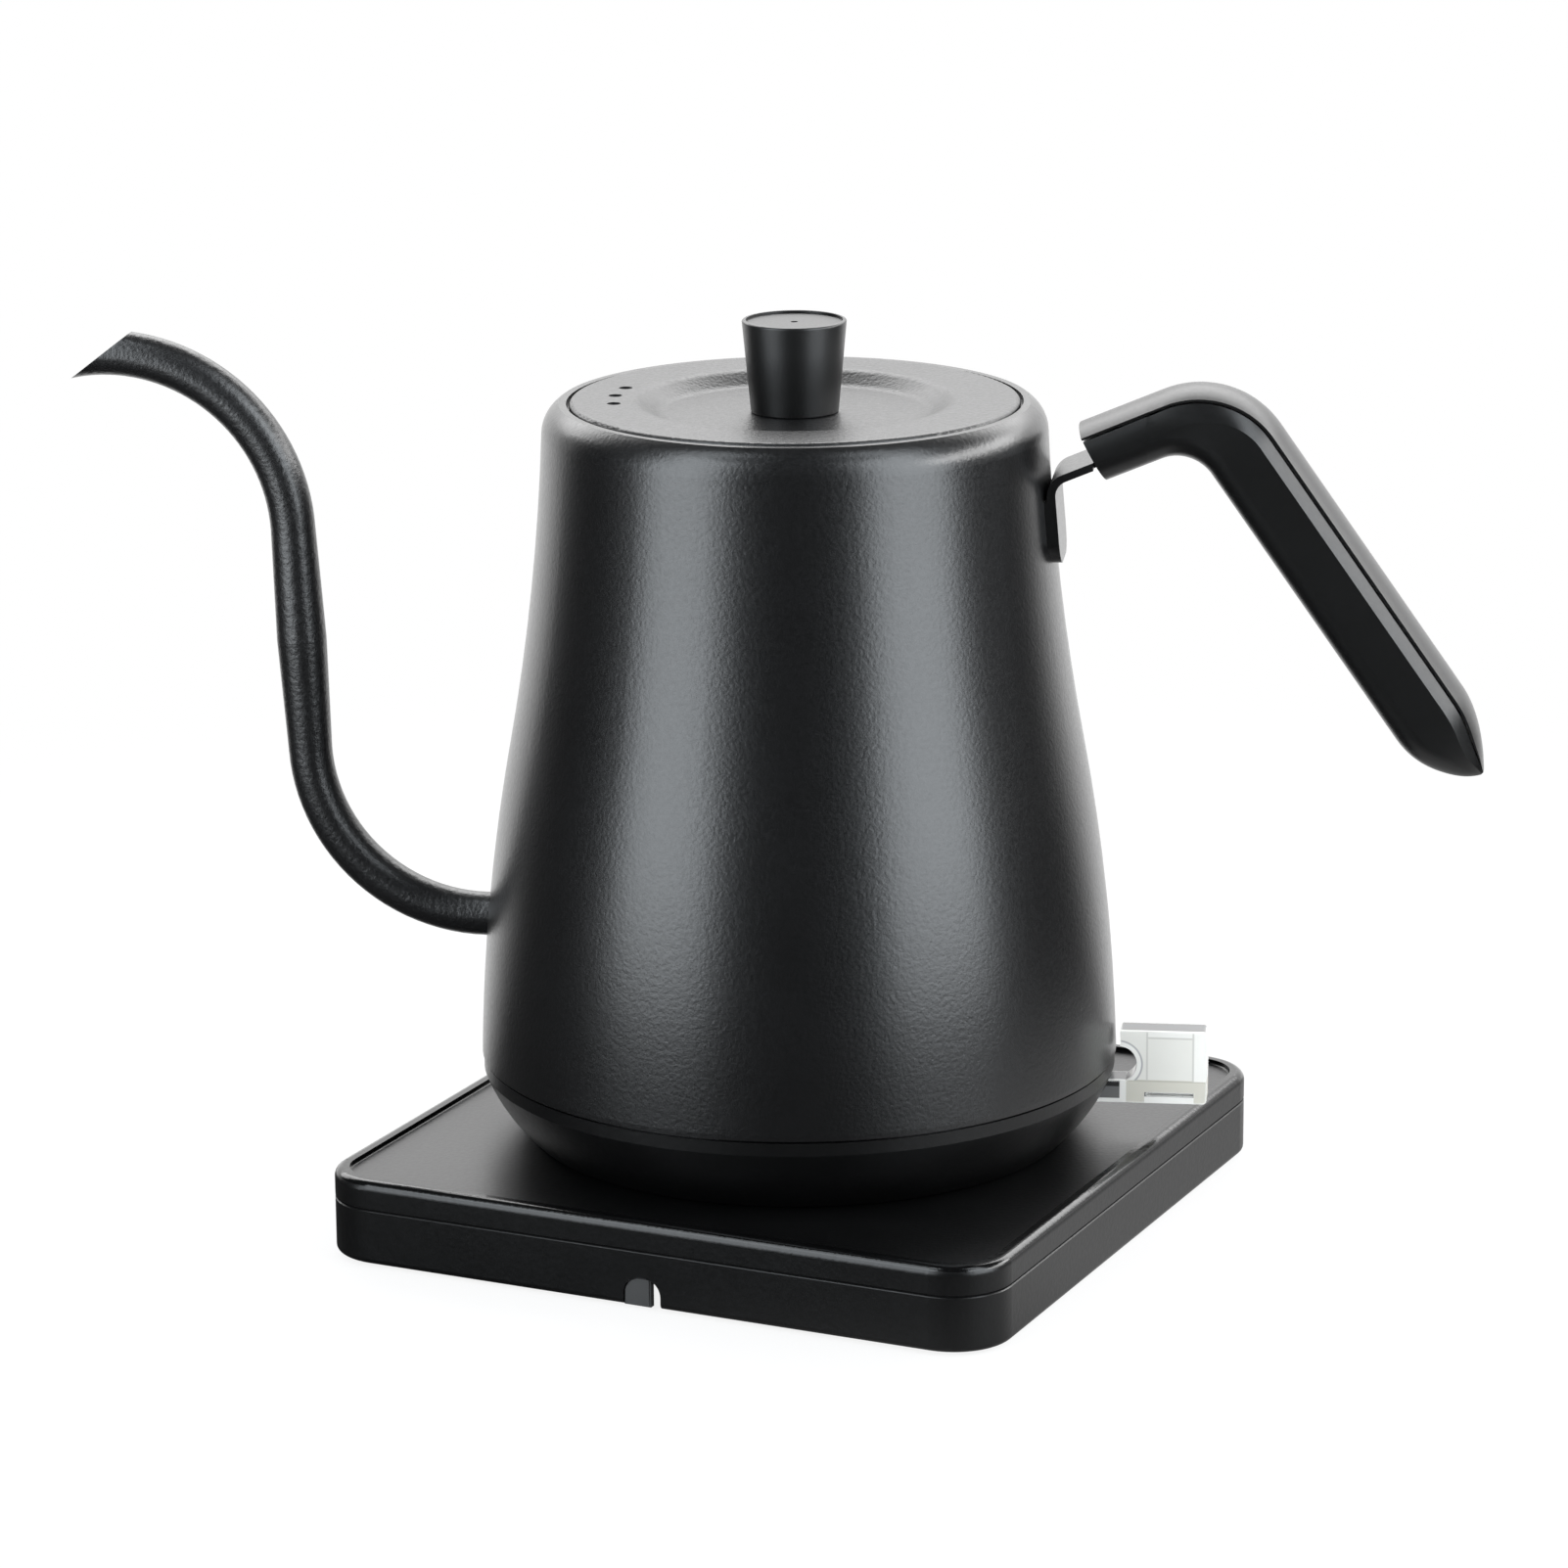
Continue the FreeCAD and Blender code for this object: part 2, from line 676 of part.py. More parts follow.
# Base cover: the panel with its raised rim, a tongue that locates it in the tray and four screw posts
def make_base_cover():
    inset = "(base_wall + tongue_gap)"
    shell = rounded_square("cover_shell", "base_side", "base_corner", "base_seam_z", "base_rim_z")
    dress(shell, "Fillet", level_edges(shell.Tip.Shape, size("base_rim_z")), "rim_round")
    dress(shell, "Chamfer", level_edges(shell.Tip.Shape, size("base_seam_z")), "base_seam_bevel")
    tongue = rounded_square("cover_tongue_block", f"base_side - 2 * {inset}", f"base_corner - {inset}",
                            "base_seam_z - tongue_depth", f"base_seam_z + {OVERCUT}")
    recess = rounded_square("panel_recess", "base_side - 2 * rim_width", "base_corner - rim_width",
                            PANEL_Z, f"base_rim_z + {OVERCUT}")
    dress(recess, "Fillet", level_edges(recess.Tip.Shape, size(PANEL_Z)), "rim_inner_round")
    deep = f"({inset} + tongue_wall)"
    cavity = rounded_square("cover_cavity", f"base_side - 2 * {deep}", f"base_corner - {deep}",
                            f"base_seam_z - tongue_depth - {OVERCUT}", PANEL_UNDER)
    hollow = cut("cover_hollow", fuse("cover_block", [shell, tongue]), [recess, cavity])
    posts = [cylinder("cover_post", "base_post_r", HUB_TOP, f"{PANEL_UNDER} + {OVERCUT}", x, y, BASE)
             for x, y in POST_PLACES]
    tools = [cylinder("turret_hole", "turret_r + turret_gap", f"{PANEL_UNDER} - {OVERCUT}",
                      f"base_rim_z + {OVERCUT}")]
    for x, y in POST_PLACES:
        tools.append(cylinder("post_hole", "screw_r", f"{HUB_TOP} - {OVERCUT}",
                              f"{HUB_TOP} + screw_bite", x, y, BASE))
    for x, y in FLANGE_PLACES:
        tools.append(cylinder("flange_hole", "small_screw_r", f"{PANEL_UNDER} - {OVERCUT}",
                              f"{PANEL_UNDER} + small_bite", x, y, BASE))
    node(cut("base_cover", fuse("cover_posts", [hollow] + posts), tools), "base_cover")


# Feet and screws of the base
def make_base_fixings():
    feet = [cylinder("foot", "foot_r", "0", "foot_lift + foot_sunk", x, y, BASE) for x, y in FOOT_PLACES]
    node(group("base_feet", feet), "base_feet")
    reach = "hub_floor - screw_head + screw_bite"
    screws = [screw("base_screw", "screw_r", "screw_head_r", "screw_head", reach, x, y, HUB_LOW, BASE)
              for x, y in POST_PLACES]
    node(group("base_screws", screws), "base_screws")


# Base half of the round connector
def make_base_connector():
    turret = turned("turret", [
        ("0", FLANGE_LOW), ("turret_flange_r", FLANGE_LOW), ("turret_flange_r", PANEL_UNDER),
        ("turret_r", PANEL_UNDER), ("turret_r", TURRET_TOP, "turret_round"), ("slot_out_r", TURRET_TOP),
        ("slot_out_r", SLOT_FLOOR), ("slot_in_r", SLOT_FLOOR), ("slot_in_r", TURRET_TOP),
        ("pin_hole_r", TURRET_TOP), ("pin_hole_r", SLOT_FLOOR), ("0", SLOT_FLOOR)])
    holes = [cylinder("turret_screw_hole", "small_screw_r + screw_gap", f"{FLANGE_LOW} - {OVERCUT}",
                      f"{PANEL_UNDER} + {OVERCUT}", x, y, BASE) for x, y in FLANGE_PLACES]
    node(cut("base_connector", turret, holes), "base_connector")
    cup_r = "(pin_hole_r - contact_gap)"
    cup_bore = "(socket_pin_r + contact_gap)"
    cup_floor = f"({SLOT_FLOOR} + cup_floor)"
    cup_top = f"({SLOT_FLOOR} + cup_height)"
    node(turned("connector_pin_contact", [
        ("0", SLOT_FLOOR), (cup_r, SLOT_FLOOR), (cup_r, cup_top), (cup_bore, cup_top),
        (cup_bore, cup_floor), ("0", cup_floor)]), "connector_pin_contact")
    ring_low = "slot_in_r + contact_gap"
    ring_high = "slot_out_r - contact_gap"
    ring_top = f"{SLOT_FLOOR} + contact_ring_height"
    node(turned("connector_ring_contact", [
        (ring_low, SLOT_FLOOR), (ring_high, SLOT_FLOOR), (ring_high, ring_top),
        (ring_low, ring_top)]), "connector_ring_contact")
    screws = [screw("connector_screw", "small_screw_r", "small_head_r", "small_head",
                    "turret_flange + small_bite", x, y, f"{FLANGE_LOW} - small_head", BASE)
              for x, y in FLANGE_PLACES]
    node(group("connector_screws", screws), "connector_screws")
    tabs = []
    for angle in (90, 210, 330):
        tabs.append(block("connector_tab", ("tab_ring_r", "tab_ring_r + tab_thick"),
                          ("-tab_width / 2", "tab_width / 2"),
                          (f"{FLANGE_LOW} - tab_length", FLANGE_LOW), f"base_turn + {angle}"))
    node(group("connector_tabs", tabs), "connector_tabs")


# Kettle half of the round connector: round all over, so the kettle can stand at any angle
def make_kettle_socket():
    ring_in = "(socket_ring_r - socket_ring_wall)"
    groove_top = f"({SOCKET_LOW} + socket_ring_sunk)"
    node(turned("kettle_socket", [
        ("socket_pin_r", SOCKET_LOW), (ring_in, SOCKET_LOW), (ring_in, groove_top),
        ("socket_ring_r", groove_top), ("socket_ring_r", SOCKET_LOW), ("socket_r", SOCKET_LOW),
        ("socket_r", SOCKET_TOP), ("socket_pin_r", SOCKET_TOP)]), "kettle_socket")
    tip = f"({SLOT_FLOOR} + cup_floor + contact_gap)"
    head_r = "socket_pin_r + socket_pin_head"
    head_top = f"{SOCKET_TOP} + socket_pin_head"
    node(turned("socket_pin", [
        ("0", tip), ("socket_pin_r", tip, "socket_pin_r / 2"), ("socket_pin_r", SOCKET_TOP),
        (head_r, SOCKET_TOP), (head_r, head_top), ("0", head_top)]), "socket_pin")
    ring_low = f"{SLOT_FLOOR} + contact_ring_height + contact_gap"
    node(turned("socket_ring", [
        (ring_in, ring_low), ("socket_ring_r", ring_low), ("socket_ring_r", groove_top),
        (ring_in, groove_top)]), "socket_ring")


# Vessel: an S-shaped wall, convex low down and hollow above, with a round shoulder
def vessel_outline(label, inset, top, bottom):
    """A solid inside the vessel's outline, smaller all round by the inset."""
    body = new_body(label)
    low = FreeCAD.Vector(size(f"vessel_r - {inset}"), size("vessel_seam_z + vessel_hem"), 0)
    waist = FreeCAD.Vector(size(f"{WAIST_R} - {inset}"), size("waist_z"), 0)
    belly = arc_centre(low, waist, size("belly_curve"), "left")
    round_r = size(f"shoulder_round - {inset}")
    shoulder = FreeCAD.Vector(size(RIM_R), size(top) - round_r, 0)
    # The hollow upper arc touches the belly's arc at the waist and the shoulder's arc at its top.
    along = (waist - belly).normalize()
    gap = waist - shoulder
    upper_r = (gap.dot(gap) - round_r ** 2) / (2 * (round_r - gap.dot(along)))
    upper = waist + along * upper_r
    neck = shoulder + (upper - shoulder).normalize() * round_r
    crown = FreeCAD.Vector(shoulder.x, size(top), 0)
    sketch = body.newObject("Sketcher::SketchObject", label + "_outline")
    sketch.AttachmentSupport = [(origin_plane(body, "XZ_Plane"), "")]
    sketch.MapMode = "FlatFace"
    foot = FreeCAD.Vector(low.x, size(bottom), 0)
    axis_low = FreeCAD.Vector(0, foot.y, 0)
    axis_top = FreeCAD.Vector(0, crown.y, 0)
    chain = [(arc_between(low, waist, belly)), (arc_between(waist, neck, upper)),
             (arc_between(neck, crown, shoulder))]
    arcs = [(sketch.addGeometry(shape, False), first, last) for shape, first, last in chain]
    lines = []
    for start, end in ((crown, axis_top), (axis_top, axis_low), (axis_low, foot), (foot, low)):
        lines.append(sketch.addGeometry(Part.LineSegment(start, end), False))
    for near, far in zip(arcs, arcs[1:]):
        sketch.addConstraint(Sketcher.Constraint("Tangent", near[0], near[2], far[0], far[1]))
    sketch.addConstraint(Sketcher.Constraint("Coincident", arcs[2][0], arcs[2][2], lines[0], 1))
    for near, far in zip(lines, lines[1:]):
        sketch.addConstraint(Sketcher.Constraint("Coincident", near, 2, far, 1))
    sketch.addConstraint(Sketcher.Constraint("Coincident", lines[3], 2, arcs[0][0], arcs[0][1]))
    pin_point(sketch, arcs[0][0], arcs[0][1], (f"vessel_r - {inset}", "vessel_seam_z + vessel_hem"))
    pin_point(sketch, arcs[0][0], arcs[0][2], (f"{WAIST_R} - {inset}", "waist_z"))
    pin_point(sketch, arcs[2][0], arcs[2][2], (RIM_R, top))
    pin_point(sketch, lines[1], 1, ("0", top))
    pin_point(sketch, lines[2], 1, ("0", bottom))
    pin_point(sketch, lines[3], 1, (f"vessel_r - {inset}", bottom))
    for arc, radius in ((arcs[0][0], "belly_curve"), (arcs[2][0], f"shoulder_round - {inset}")):
        held = sketch.addConstraint(Sketcher.Constraint("Radius", arc, size(radius)))
        sketch.setExpression(f"Constraints[{held}]", bound(radius))
    revolution = body.newObject("PartDesign::Revolution", label + "_turned")
    revolution.Profile = sketch
    revolution.ReferenceAxis = (sketch, ["V_Axis"])
    revolution.Angle = 360
    doc.recompute()
    return body


def make_vessel():
    form = vessel_outline("vessel_form", "0", "rim_z", "vessel_seam_z")
    bore = vessel_outline("vessel_bore", "steel_wall", "rim_z - steel_wall", f"vessel_seam_z - {OVERCUT}")
    mouth = cylinder("vessel_mouth", SEAT_R, SEAT_Z, f"rim_z + {OVERCUT}")
    hole = doc.addObject("Part::Cylinder", "spout_hole")
    hole.setExpression("Radius", bound("spout_root_r - spout_wall"))
    hole.setExpression("Height", bound("vessel_r"))
    hole.Placement.Rotation = FreeCAD.Rotation(FreeCAD.Vector(0, 1, 0), -90)
    hole.setExpression("Placement.Base.z", bound("spout_z"))
    land = cylinder("rim_land_cut", "vessel_r", "rim_z - rim_land", f"rim_z + {OVERCUT}")
    node(cut("vessel", form, [bore, mouth, hole, land]), "vessel")
    outer = f"({SEAT_R} + steel_wall)"
    lip_out = f"({LIP_R} + steel_wall)"
    under = f"({SEAT_Z} - steel_wall)"
    lip_low = f"({SEAT_Z} - lip_depth)"
    ring = turned("seat_ring", [
        (outer, under), (outer, "rim_z"), (SEAT_R, "rim_z"), (SEAT_R, SEAT_Z), (LIP_R, SEAT_Z),
        (LIP_R, lip_low), (lip_out, lip_low), (lip_out, under)])
    node(common("neck_ring", [ring, bore]), "neck_ring")
    disc = cylinder("floor_disc", "vessel_r", "floor_z", "floor_z + floor_thick")
    node(common("vessel_floor", [disc, bore]), "vessel_floor")
    return form


# Heater: an aluminium plate under the floor, with a tube element round it and three screw bosses
def make_heater():
    plate = cylinder("spreader_plate", "spreader_r", SPREADER_LOW, "floor_z")
    bosses = [cylinder("spreader_boss", "boss_r", PLATE_TOP, f"{SPREADER_LOW} + {OVERCUT}", x, y)
              for x, y in BOSS_PLACES]
    holes = [cylinder("boss_hole", "screw_r", f"{PLATE_TOP} - {OVERCUT}", f"{PLATE_TOP} + screw_bite", x, y)
             for x, y in BOSS_PLACES]
    holes += [cylinder("control_hole", "small_screw_r", f"{SPREADER_LOW} - {OVERCUT}",
                       f"{SPREADER_LOW} + small_bite", x, y) for x, y in CONTROL_PLACES]
    node(cut("heat_spreader", fuse("spreader_body", [plate] + bosses), holes), "heat_spreader")
    ring_z = f"{SPREADER_LOW} - element_r"
    tube = doc.addObject("Part::Torus", "element_tube")
    tube.setExpression("Radius1", bound("element_ring_r"))
    tube.setExpression("Radius2", bound("element_r"))
    tube.setExpression("Angle3", bound("element_arc"))
    node(seat(tube, z=ring_z, turn="180 - element_arc / 2"), "heating_element")
    ends = []
    for start in ("180 + element_arc / 2", "180 - element_arc / 2 - terminal_arc"):
        pin = doc.addObject("Part::Torus", "element_terminal")
        pin.setExpression("Radius1", bound("element_ring_r"))
        pin.setExpression("Radius2", bound("terminal_r"))
        pin.setExpression("Angle3", bound("terminal_arc"))
        ends.append(seat(pin, z=ring_z, turn=start))
    node(group("element_terminals", ends), "element_terminals")


# Control: a round housing that holds the socket, with its snap disc against the heater plate
def make_control():
    flange_low = f"({CONTROL_TOP} - control_flange)"
    well_r = "(turret_r + control_well_gap)"
    socket_hole = "(socket_r + swivel_gap)"
    ceiling = f"({SOCKET_TOP} + socket_pin_head + swivel_gap)"
    body = turned("control_body", [
        (well_r, PLATE_LOW), ("control_r", PLATE_LOW), ("control_r", flange_low),
        ("control_flange_r", flange_low), ("control_flange_r", CONTROL_TOP), ("0", CONTROL_TOP),
        ("0", ceiling), (socket_hole, ceiling), (socket_hole, SOCKET_LOW), (well_r, SOCKET_LOW)])
    holes = [cylinder("housing_hole", "small_screw_r + screw_gap", f"{flange_low} - {OVERCUT}",
                      f"{CONTROL_TOP} + {OVERCUT}", x, y) for x, y in CONTROL_PLACES]
    node(cut("control_housing", body, holes), "control_housing")
    screws = [screw("control_screw", "small_screw_r", "small_head_r", "small_head",
                    "control_flange + bimetal_thick + small_bite", x, y, f"{flange_low} - small_head")
              for x, y in CONTROL_PLACES]
    node(group("control_screws", screws), "control_screws")
    crown = f"({CONTROL_TOP} + bimetal_thick / 2)"
    node(turned("bimetal_disc", [
        ("0", CONTROL_TOP), ("bimetal_r", CONTROL_TOP), ("bimetal_r", crown), ("bimetal_r / 2", SPREADER_LOW),
        ("0", SPREADER_LOW)]), "bimetal_disc")
    lamp_top = "(lamp_height + lamp_round)"
    lamp = turned("indicator_lamp", [("0", "0"), ("lamp_r", "0"), ("lamp_r", lamp_top, "lamp_round"),
                                     ("0", lamp_top)])
    node(seat(lamp, "vessel_r - lamp_inset", "lamp_y", PLATE_TOP), "indicator_lamp")


# Bottom cover: a short upright band, then a curve in to the foot, with a collar round the control
def make_bottom_cover():
    foot_in = f"({KETTLE_FOOT_R} - kettle_foot_width)"
    band_low = f"({COVER_TOP} - cover_band)"
    tongue_top = f"({COVER_TOP} + cover_gap + cover_tongue)"
    tongue_in = f"({COVER_TONGUE_R} - cover_wall)"
    collar_out = f"({COLLAR_R} + collar_wall)"
    collar_top = f"({PLATE_TOP} + collar_height)"
    form = turned("cover_form", [
        (KETTLE_FOOT_R, KETTLE_FOOT), ("left", "cover_curve"), (COVER_R, band_low), (COVER_R, COVER_TOP),
        (COVER_TONGUE_R, COVER_TOP), (COVER_TONGUE_R, tongue_top), (tongue_in, tongue_top),
        (tongue_in, band_low), ("right", "cover_curve"), (f"{KETTLE_FOOT_R} - cover_wall / 2", PLATE_TOP),
        (collar_out, PLATE_TOP), (collar_out, collar_top), (COLLAR_R, collar_top), (COLLAR_R, PLATE_LOW),
        (foot_in, PLATE_LOW), (foot_in, KETTLE_FOOT)])
    slot = "(lever_width / 2 + lever_gap)"
    tools = [block("lever_slot", (f"{PIVOT_X} - lug_reach", f"vessel_r + {OVERCUT}"), (f"-{slot}", slot),
                   ("pivot_z - lever_slot_low", "pivot_z + lever_slot_high"))]
    for x, y in BOSS_PLACES:
        tools.append(cylinder("cover_hole", "screw_r + screw_gap", f"{PLATE_LOW} - {OVERCUT}",
                              f"{PLATE_TOP} + {OVERCUT}", x, y))
        tools.append(cylinder("cover_sink", "screw_head_r + screw_gap", f"{PLATE_LOW} - {OVERCUT}",
                              f"{PLATE_LOW} + screw_head", x, y))
    shell = cut("cover_shell_cut", form, tools)
    lugs = []
    for side in (-1, 1):
        near = slot if side == 1 else f"-{slot} - lug_wall"
        lugs.append(block("pivot_lug", (f"{PIVOT_X} - lug_reach", f"{PIVOT_X} + lug_reach"),
                          (near, f"{near} + lug_wall"),
                          (f"{PLATE_TOP} - cover_plate / 2", "pivot_z + pivot_hub_r")))
    bore = across("lug_bore", "pivot_pin_r + pin_gap", "lever_width * 4", PIVOT_X, "pivot_z")
    node(cut("bottom_cover", fuse("cover_with_lugs", [shell] + lugs), [bore]), "bottom_cover")
    reach = "cover_plate - screw_head + screw_bite"
    screws = [screw("bottom_screw", "screw_r", "screw_head_r", "screw_head", reach, x, y, PLATE_LOW)
              for x, y in BOSS_PLACES]
    node(group("bottom_screws", screws), "bottom_screws")


# Switch lever: a clear hollow paddle on an arm, with a round notch beside the vessel
def make_switch():
    tip_x = "(vessel_r + lever_wall_gap)"
    arm_low = "(lever_top_z - lever_arm)"
    low_arm_top = "(lever_low_z + lever_lower_arm)"
    paddle = slab("lever_paddle", [
        (tip_x, arm_low), ("right", "lever_notch_r"), (f"{tip_x} + lever_wall_gap", low_arm_top),
        (PIVOT_X, low_arm_top), (PIVOT_X, "lever_low_z"), (LEVER_END_X, "lever_low_z", "lever_round"),
        (LEVER_END_X, "lever_top_z", "lever_round"), (tip_x, "lever_top_z")], "lever_width")
    hub = across("lever_hub", "pivot_hub_r", "lever_width", PIVOT_X, "pivot_z")
    inside = "(lever_width / 2 - lever_wall)"
    hollow = block("lever_hollow", ("vessel_r + lever_block", f"{LEVER_END_X} - lever_wall"),
                   (f"-{inside}", inside), (f"lever_low_z - {OVERCUT}", "lever_top_z - lever_wall"))
    bore = across("lever_bore", "pivot_pin_r + pivot_gap", "lever_width * 2", PIVOT_X, "pivot_z")
    # A shallow groove along both faces, just over the lower edge
    grooves = []
    groove_low = "(lever_low_z + lever_groove_z)"
    for side in (-1, 1):
        near = "lever_width / 2 - lever_groove" if side == 1 else f"-lever_width / 2 - {OVERCUT}"
        far = f"lever_width / 2 + {OVERCUT}" if side == 1 else "lever_groove - lever_width / 2"
        grooves.append(block("lever_groove_cut",
                             ("vessel_r + lever_block", f"{LEVER_END_X} - lever_groove_inset"), (near, far),
                             (groove_low, f"{groove_low} + lever_groove")))
    node(cut("switch_lever", fuse("lever_body", [paddle, hub]), [hollow, bore] + grooves), "switch_lever")
    pin_length = "(lever_width + 2 * lever_gap + 2 * lug_wall)"
    node(across("lever_pin", "pivot_pin_r", pin_length, PIVOT_X, "pivot_z"), "lever_pin")
    face = f"({PIVOT_X} - pivot_hub_r - spring_gap)"
    top = "(pivot_z - pivot_hub_r / 2)"
    heel = f"({face} - spring_length / 4)"
    sole = f"({PLATE_TOP} + spring_thick)"
    node(slab("switch_spring", [
        (f"{face} - spring_length", PLATE_TOP), (heel, PLATE_TOP), (face, top),
        (f"{face} - spring_thick", top), (f"{heel} - spring_thick", sole), (f"{face} - spring_length", sole)],
        "spring_width"), "switch_spring")


# Spout: one tube from the wall, up through a wide bend, a leaning run and an upper bend that droops
def make_spout(form):
    low_r = size("spout_low_bend")
    high_r = size("spout_high_bend")
    lean = math.radians(size("spout_lean"))
    droop = math.radians(size("spout_droop"))
    z = size("spout_z")

    def point(x, height):
        return FreeCAD.Vector(-x, 0, height)

    def on_circle(centre, radius, angle):
        return centre + FreeCAD.Vector(radius * math.cos(angle), 0, radius * math.sin(angle))

    root = point(size("vessel_r - spout_root_inset"), z)
    low_centre = root + FreeCAD.Vector(0, 0, low_r)
    low_end = on_circle(low_centre, low_r, math.pi + lean)
    along = FreeCAD.Vector(-math.sin(lean), 0, math.cos(lean))
    half_run = size("spout_run / 2")
    run_middle = low_end + along * half_run
    run_end = run_middle + along * half_run
    high_centre = run_end + FreeCAD.Vector(-math.cos(lean), 0, -math.sin(lean)) * high_r
    low_turn = math.pi / 2 - lean
    high_turn = math.pi / 2 + droop - lean

    def bend(place, way, radius, centre, turn):
        disc = Part.Face(Part.Wire([Part.makeCircle(radius, place, way)]))
        return disc.revolve(centre, FreeCAD.Vector(0, 1, 0), math.degrees(turn))

    # The tube is slimmest in the lower bend, swells along the run and draws in again to the upper bend.
    def tube(wall):
        root_r = size("spout_root_r") - wall
        swell_r = size("spout_r") - wall
        mouth_r = size("spout_mouth_r") - wall
        outward = FreeCAD.Vector(-1, 0, 0)
        stub = Part.makeCylinder(root_r, -root.x, point(0, z), outward)
        stretches = [bend(root, outward, root_r, low_centre, low_turn),
                     Part.makeCone(root_r, swell_r, half_run, low_end, along),
                     Part.makeCone(swell_r, mouth_r, half_run, run_middle, along),
                     bend(run_end, along, mouth_r, high_centre, -high_turn)]
        return stub.fuse(stretches)

    outer = tube(0.0)
    inner = tube(size("spout_wall"))
    # The mouth is cut by one slanting plane, which leaves a pointed lower lip.
    angle = math.radians(size("spout_cut_angle"))
    lip = high_centre + FreeCAD.Vector(-size("spout_cut_reach"), 0, size("spout_cut_rise"))
    reach = 4 * size("spout_r") + high_r
    slant = Part.makeBox(reach, reach, reach, FreeCAD.Vector(-reach / 2, -reach / 2, 0))
    slant.Placement = FreeCAD.Placement(lip, FreeCAD.Rotation(FreeCAD.Vector(0, 1, 0), -math.degrees(angle)))
    shape = outer.cut(inner).cut(slant).cut(form.Shape)
    largest = max(shape.Solids, key=lambda solid: solid.Volume)
    node(feature("spout_tube", largest), "spout_tube")
    length = low_r * low_turn + 2 * half_run + high_r * high_turn
    print("spout length", round(length, 2), "tube volume", round(largest.Volume, 2))


# Handle: sections square to the handle, each a crowned cap over a body whose flank turns into a facet,
# lofted from the strap round the bend and down to the pointed tip
def handle_line():
    """Corner of the inner edge, directions of the top and the grip, and their outward normals."""
    rise = math.radians(size("handle_rise"))
    slope = math.radians(size("grip_slope"))
    corner = FreeCAD.Vector(size(HANDLE_X), 0, size("handle_corner_z"))
    top_way = FreeCAD.Vector(math.cos(rise), 0, math.sin(rise))
    grip_way = FreeCAD.Vector(math.cos(slope), 0, -math.sin(slope))
    top_out = FreeCAD.Vector(-math.sin(rise), 0, math.cos(rise))
    grip_out = FreeCAD.Vector(math.sin(slope), 0, math.cos(slope))
    return corner, top_way, grip_way, top_out, grip_out


# Where sections stand in the bend and at the tip, as parts of each
BEND_STEPS = 6
TIP_PARTS = (0.12, 0.26, 0.42, 0.58, 0.74, 0.88, 0.97)
TIP_FULLNESS = 2.2
LOFT_DEGREE = 3

# Shares of a section: most of its width that a rounding takes, most of its half width that the seam
# is tucked in, least of its side that stays upright and how much of its flank's curve the facet keeps
EDGE_SHARE = 0.3
TUCK_SHARE = 0.3
SIDE_SHARE = 0.02
FACET_CURVE = 0.08


def curve_point(first, control, last, part):
    """A point of a quadratic curve."""
    return first * (1 - part) ** 2 + control * (2 * part * (1 - part)) + last * part ** 2


def handle_stretches():
    """Four stretches of sections: the straight top, the bend, the straight grip and the tip.

    A section is its inner edge, its outer edge, its width and how far its facet has opened.
    """
    corner, top_way, grip_way, top_out, grip_out = handle_line()
    top_t = size("handle_top_thick")
    grip_t = size("grip_thick")
    top_w = size("handle_top_width")
    grip_w = size("grip_width")
    inner_r = size("handle_inner_bend")
    outer_r = size("handle_outer_bend")
    lead = size("handle_bend_lead")
    turn = top_way.getAngle(grip_way)
    # The outer edge's corner is where the two outer lines cross.
    ahead = (grip_t - top_t * math.cos(turn)) / math.sin(turn)
    outer_corner = corner + top_out * top_t + top_way * ahead
    inner_back = inner_r * math.tan(turn / 2)
    outer_back = outer_r * math.tan(turn / 2)
    inner_centre = corner - top_way * inner_back - top_out * inner_r
    outer_centre = outer_corner - top_way * outer_back - top_out * outer_r
    bend = []
    for i in range(BEND_STEPS + 1):
        part = i / BEND_STEPS
        way = top_out * math.cos(turn * part) + top_way * math.sin(turn * part)
        swell = part * part * (3 - 2 * part)
        width = top_w + (grip_w - top_w) * swell
        bend.append((inner_centre + way * inner_r, outer_centre + way * outer_r, width, swell))
    start = corner - top_way * size("handle_top_length")
    first = (start, start + top_out * top_t - top_way * size("handle_end_skew"), top_w, 0.0)
    before = (bend[0][0] - top_way * lead, bend[0][1] - top_way * lead, top_w, 0.0)
    after = (bend[-1][0] + grip_way * lead, bend[-1][1] + grip_way * lead, grip_w, 1.0)
    inner = corner + grip_way * size("grip_length")
    outer = inner + grip_out * grip_t
    last = (inner, outer, grip_w, 1.0)
    nearly = (inner - grip_way * lead, outer - grip_way * lead, grip_w, 1.0)
    tip_end = inner + grip_way * size("tip_length") + grip_out * size("tip_offset")
    inner_control = inner + grip_way * size("tip_length * tip_inner_pull")
    outer_control = outer + grip_way * size("tip_length * tip_outer_pull")
    tip = []
    for part in TIP_PARTS:
        near = curve_point(inner, inner_control, tip_end, part)
        far = curve_point(outer, outer_control, tip_end, part)
        tip.append((near, far, grip_w * math.sqrt(1 - part ** TIP_FULLNESS), 1.0))
    return [[first, before], [before] + bend + [after], [after, nearly], [nearly, last] + tip]


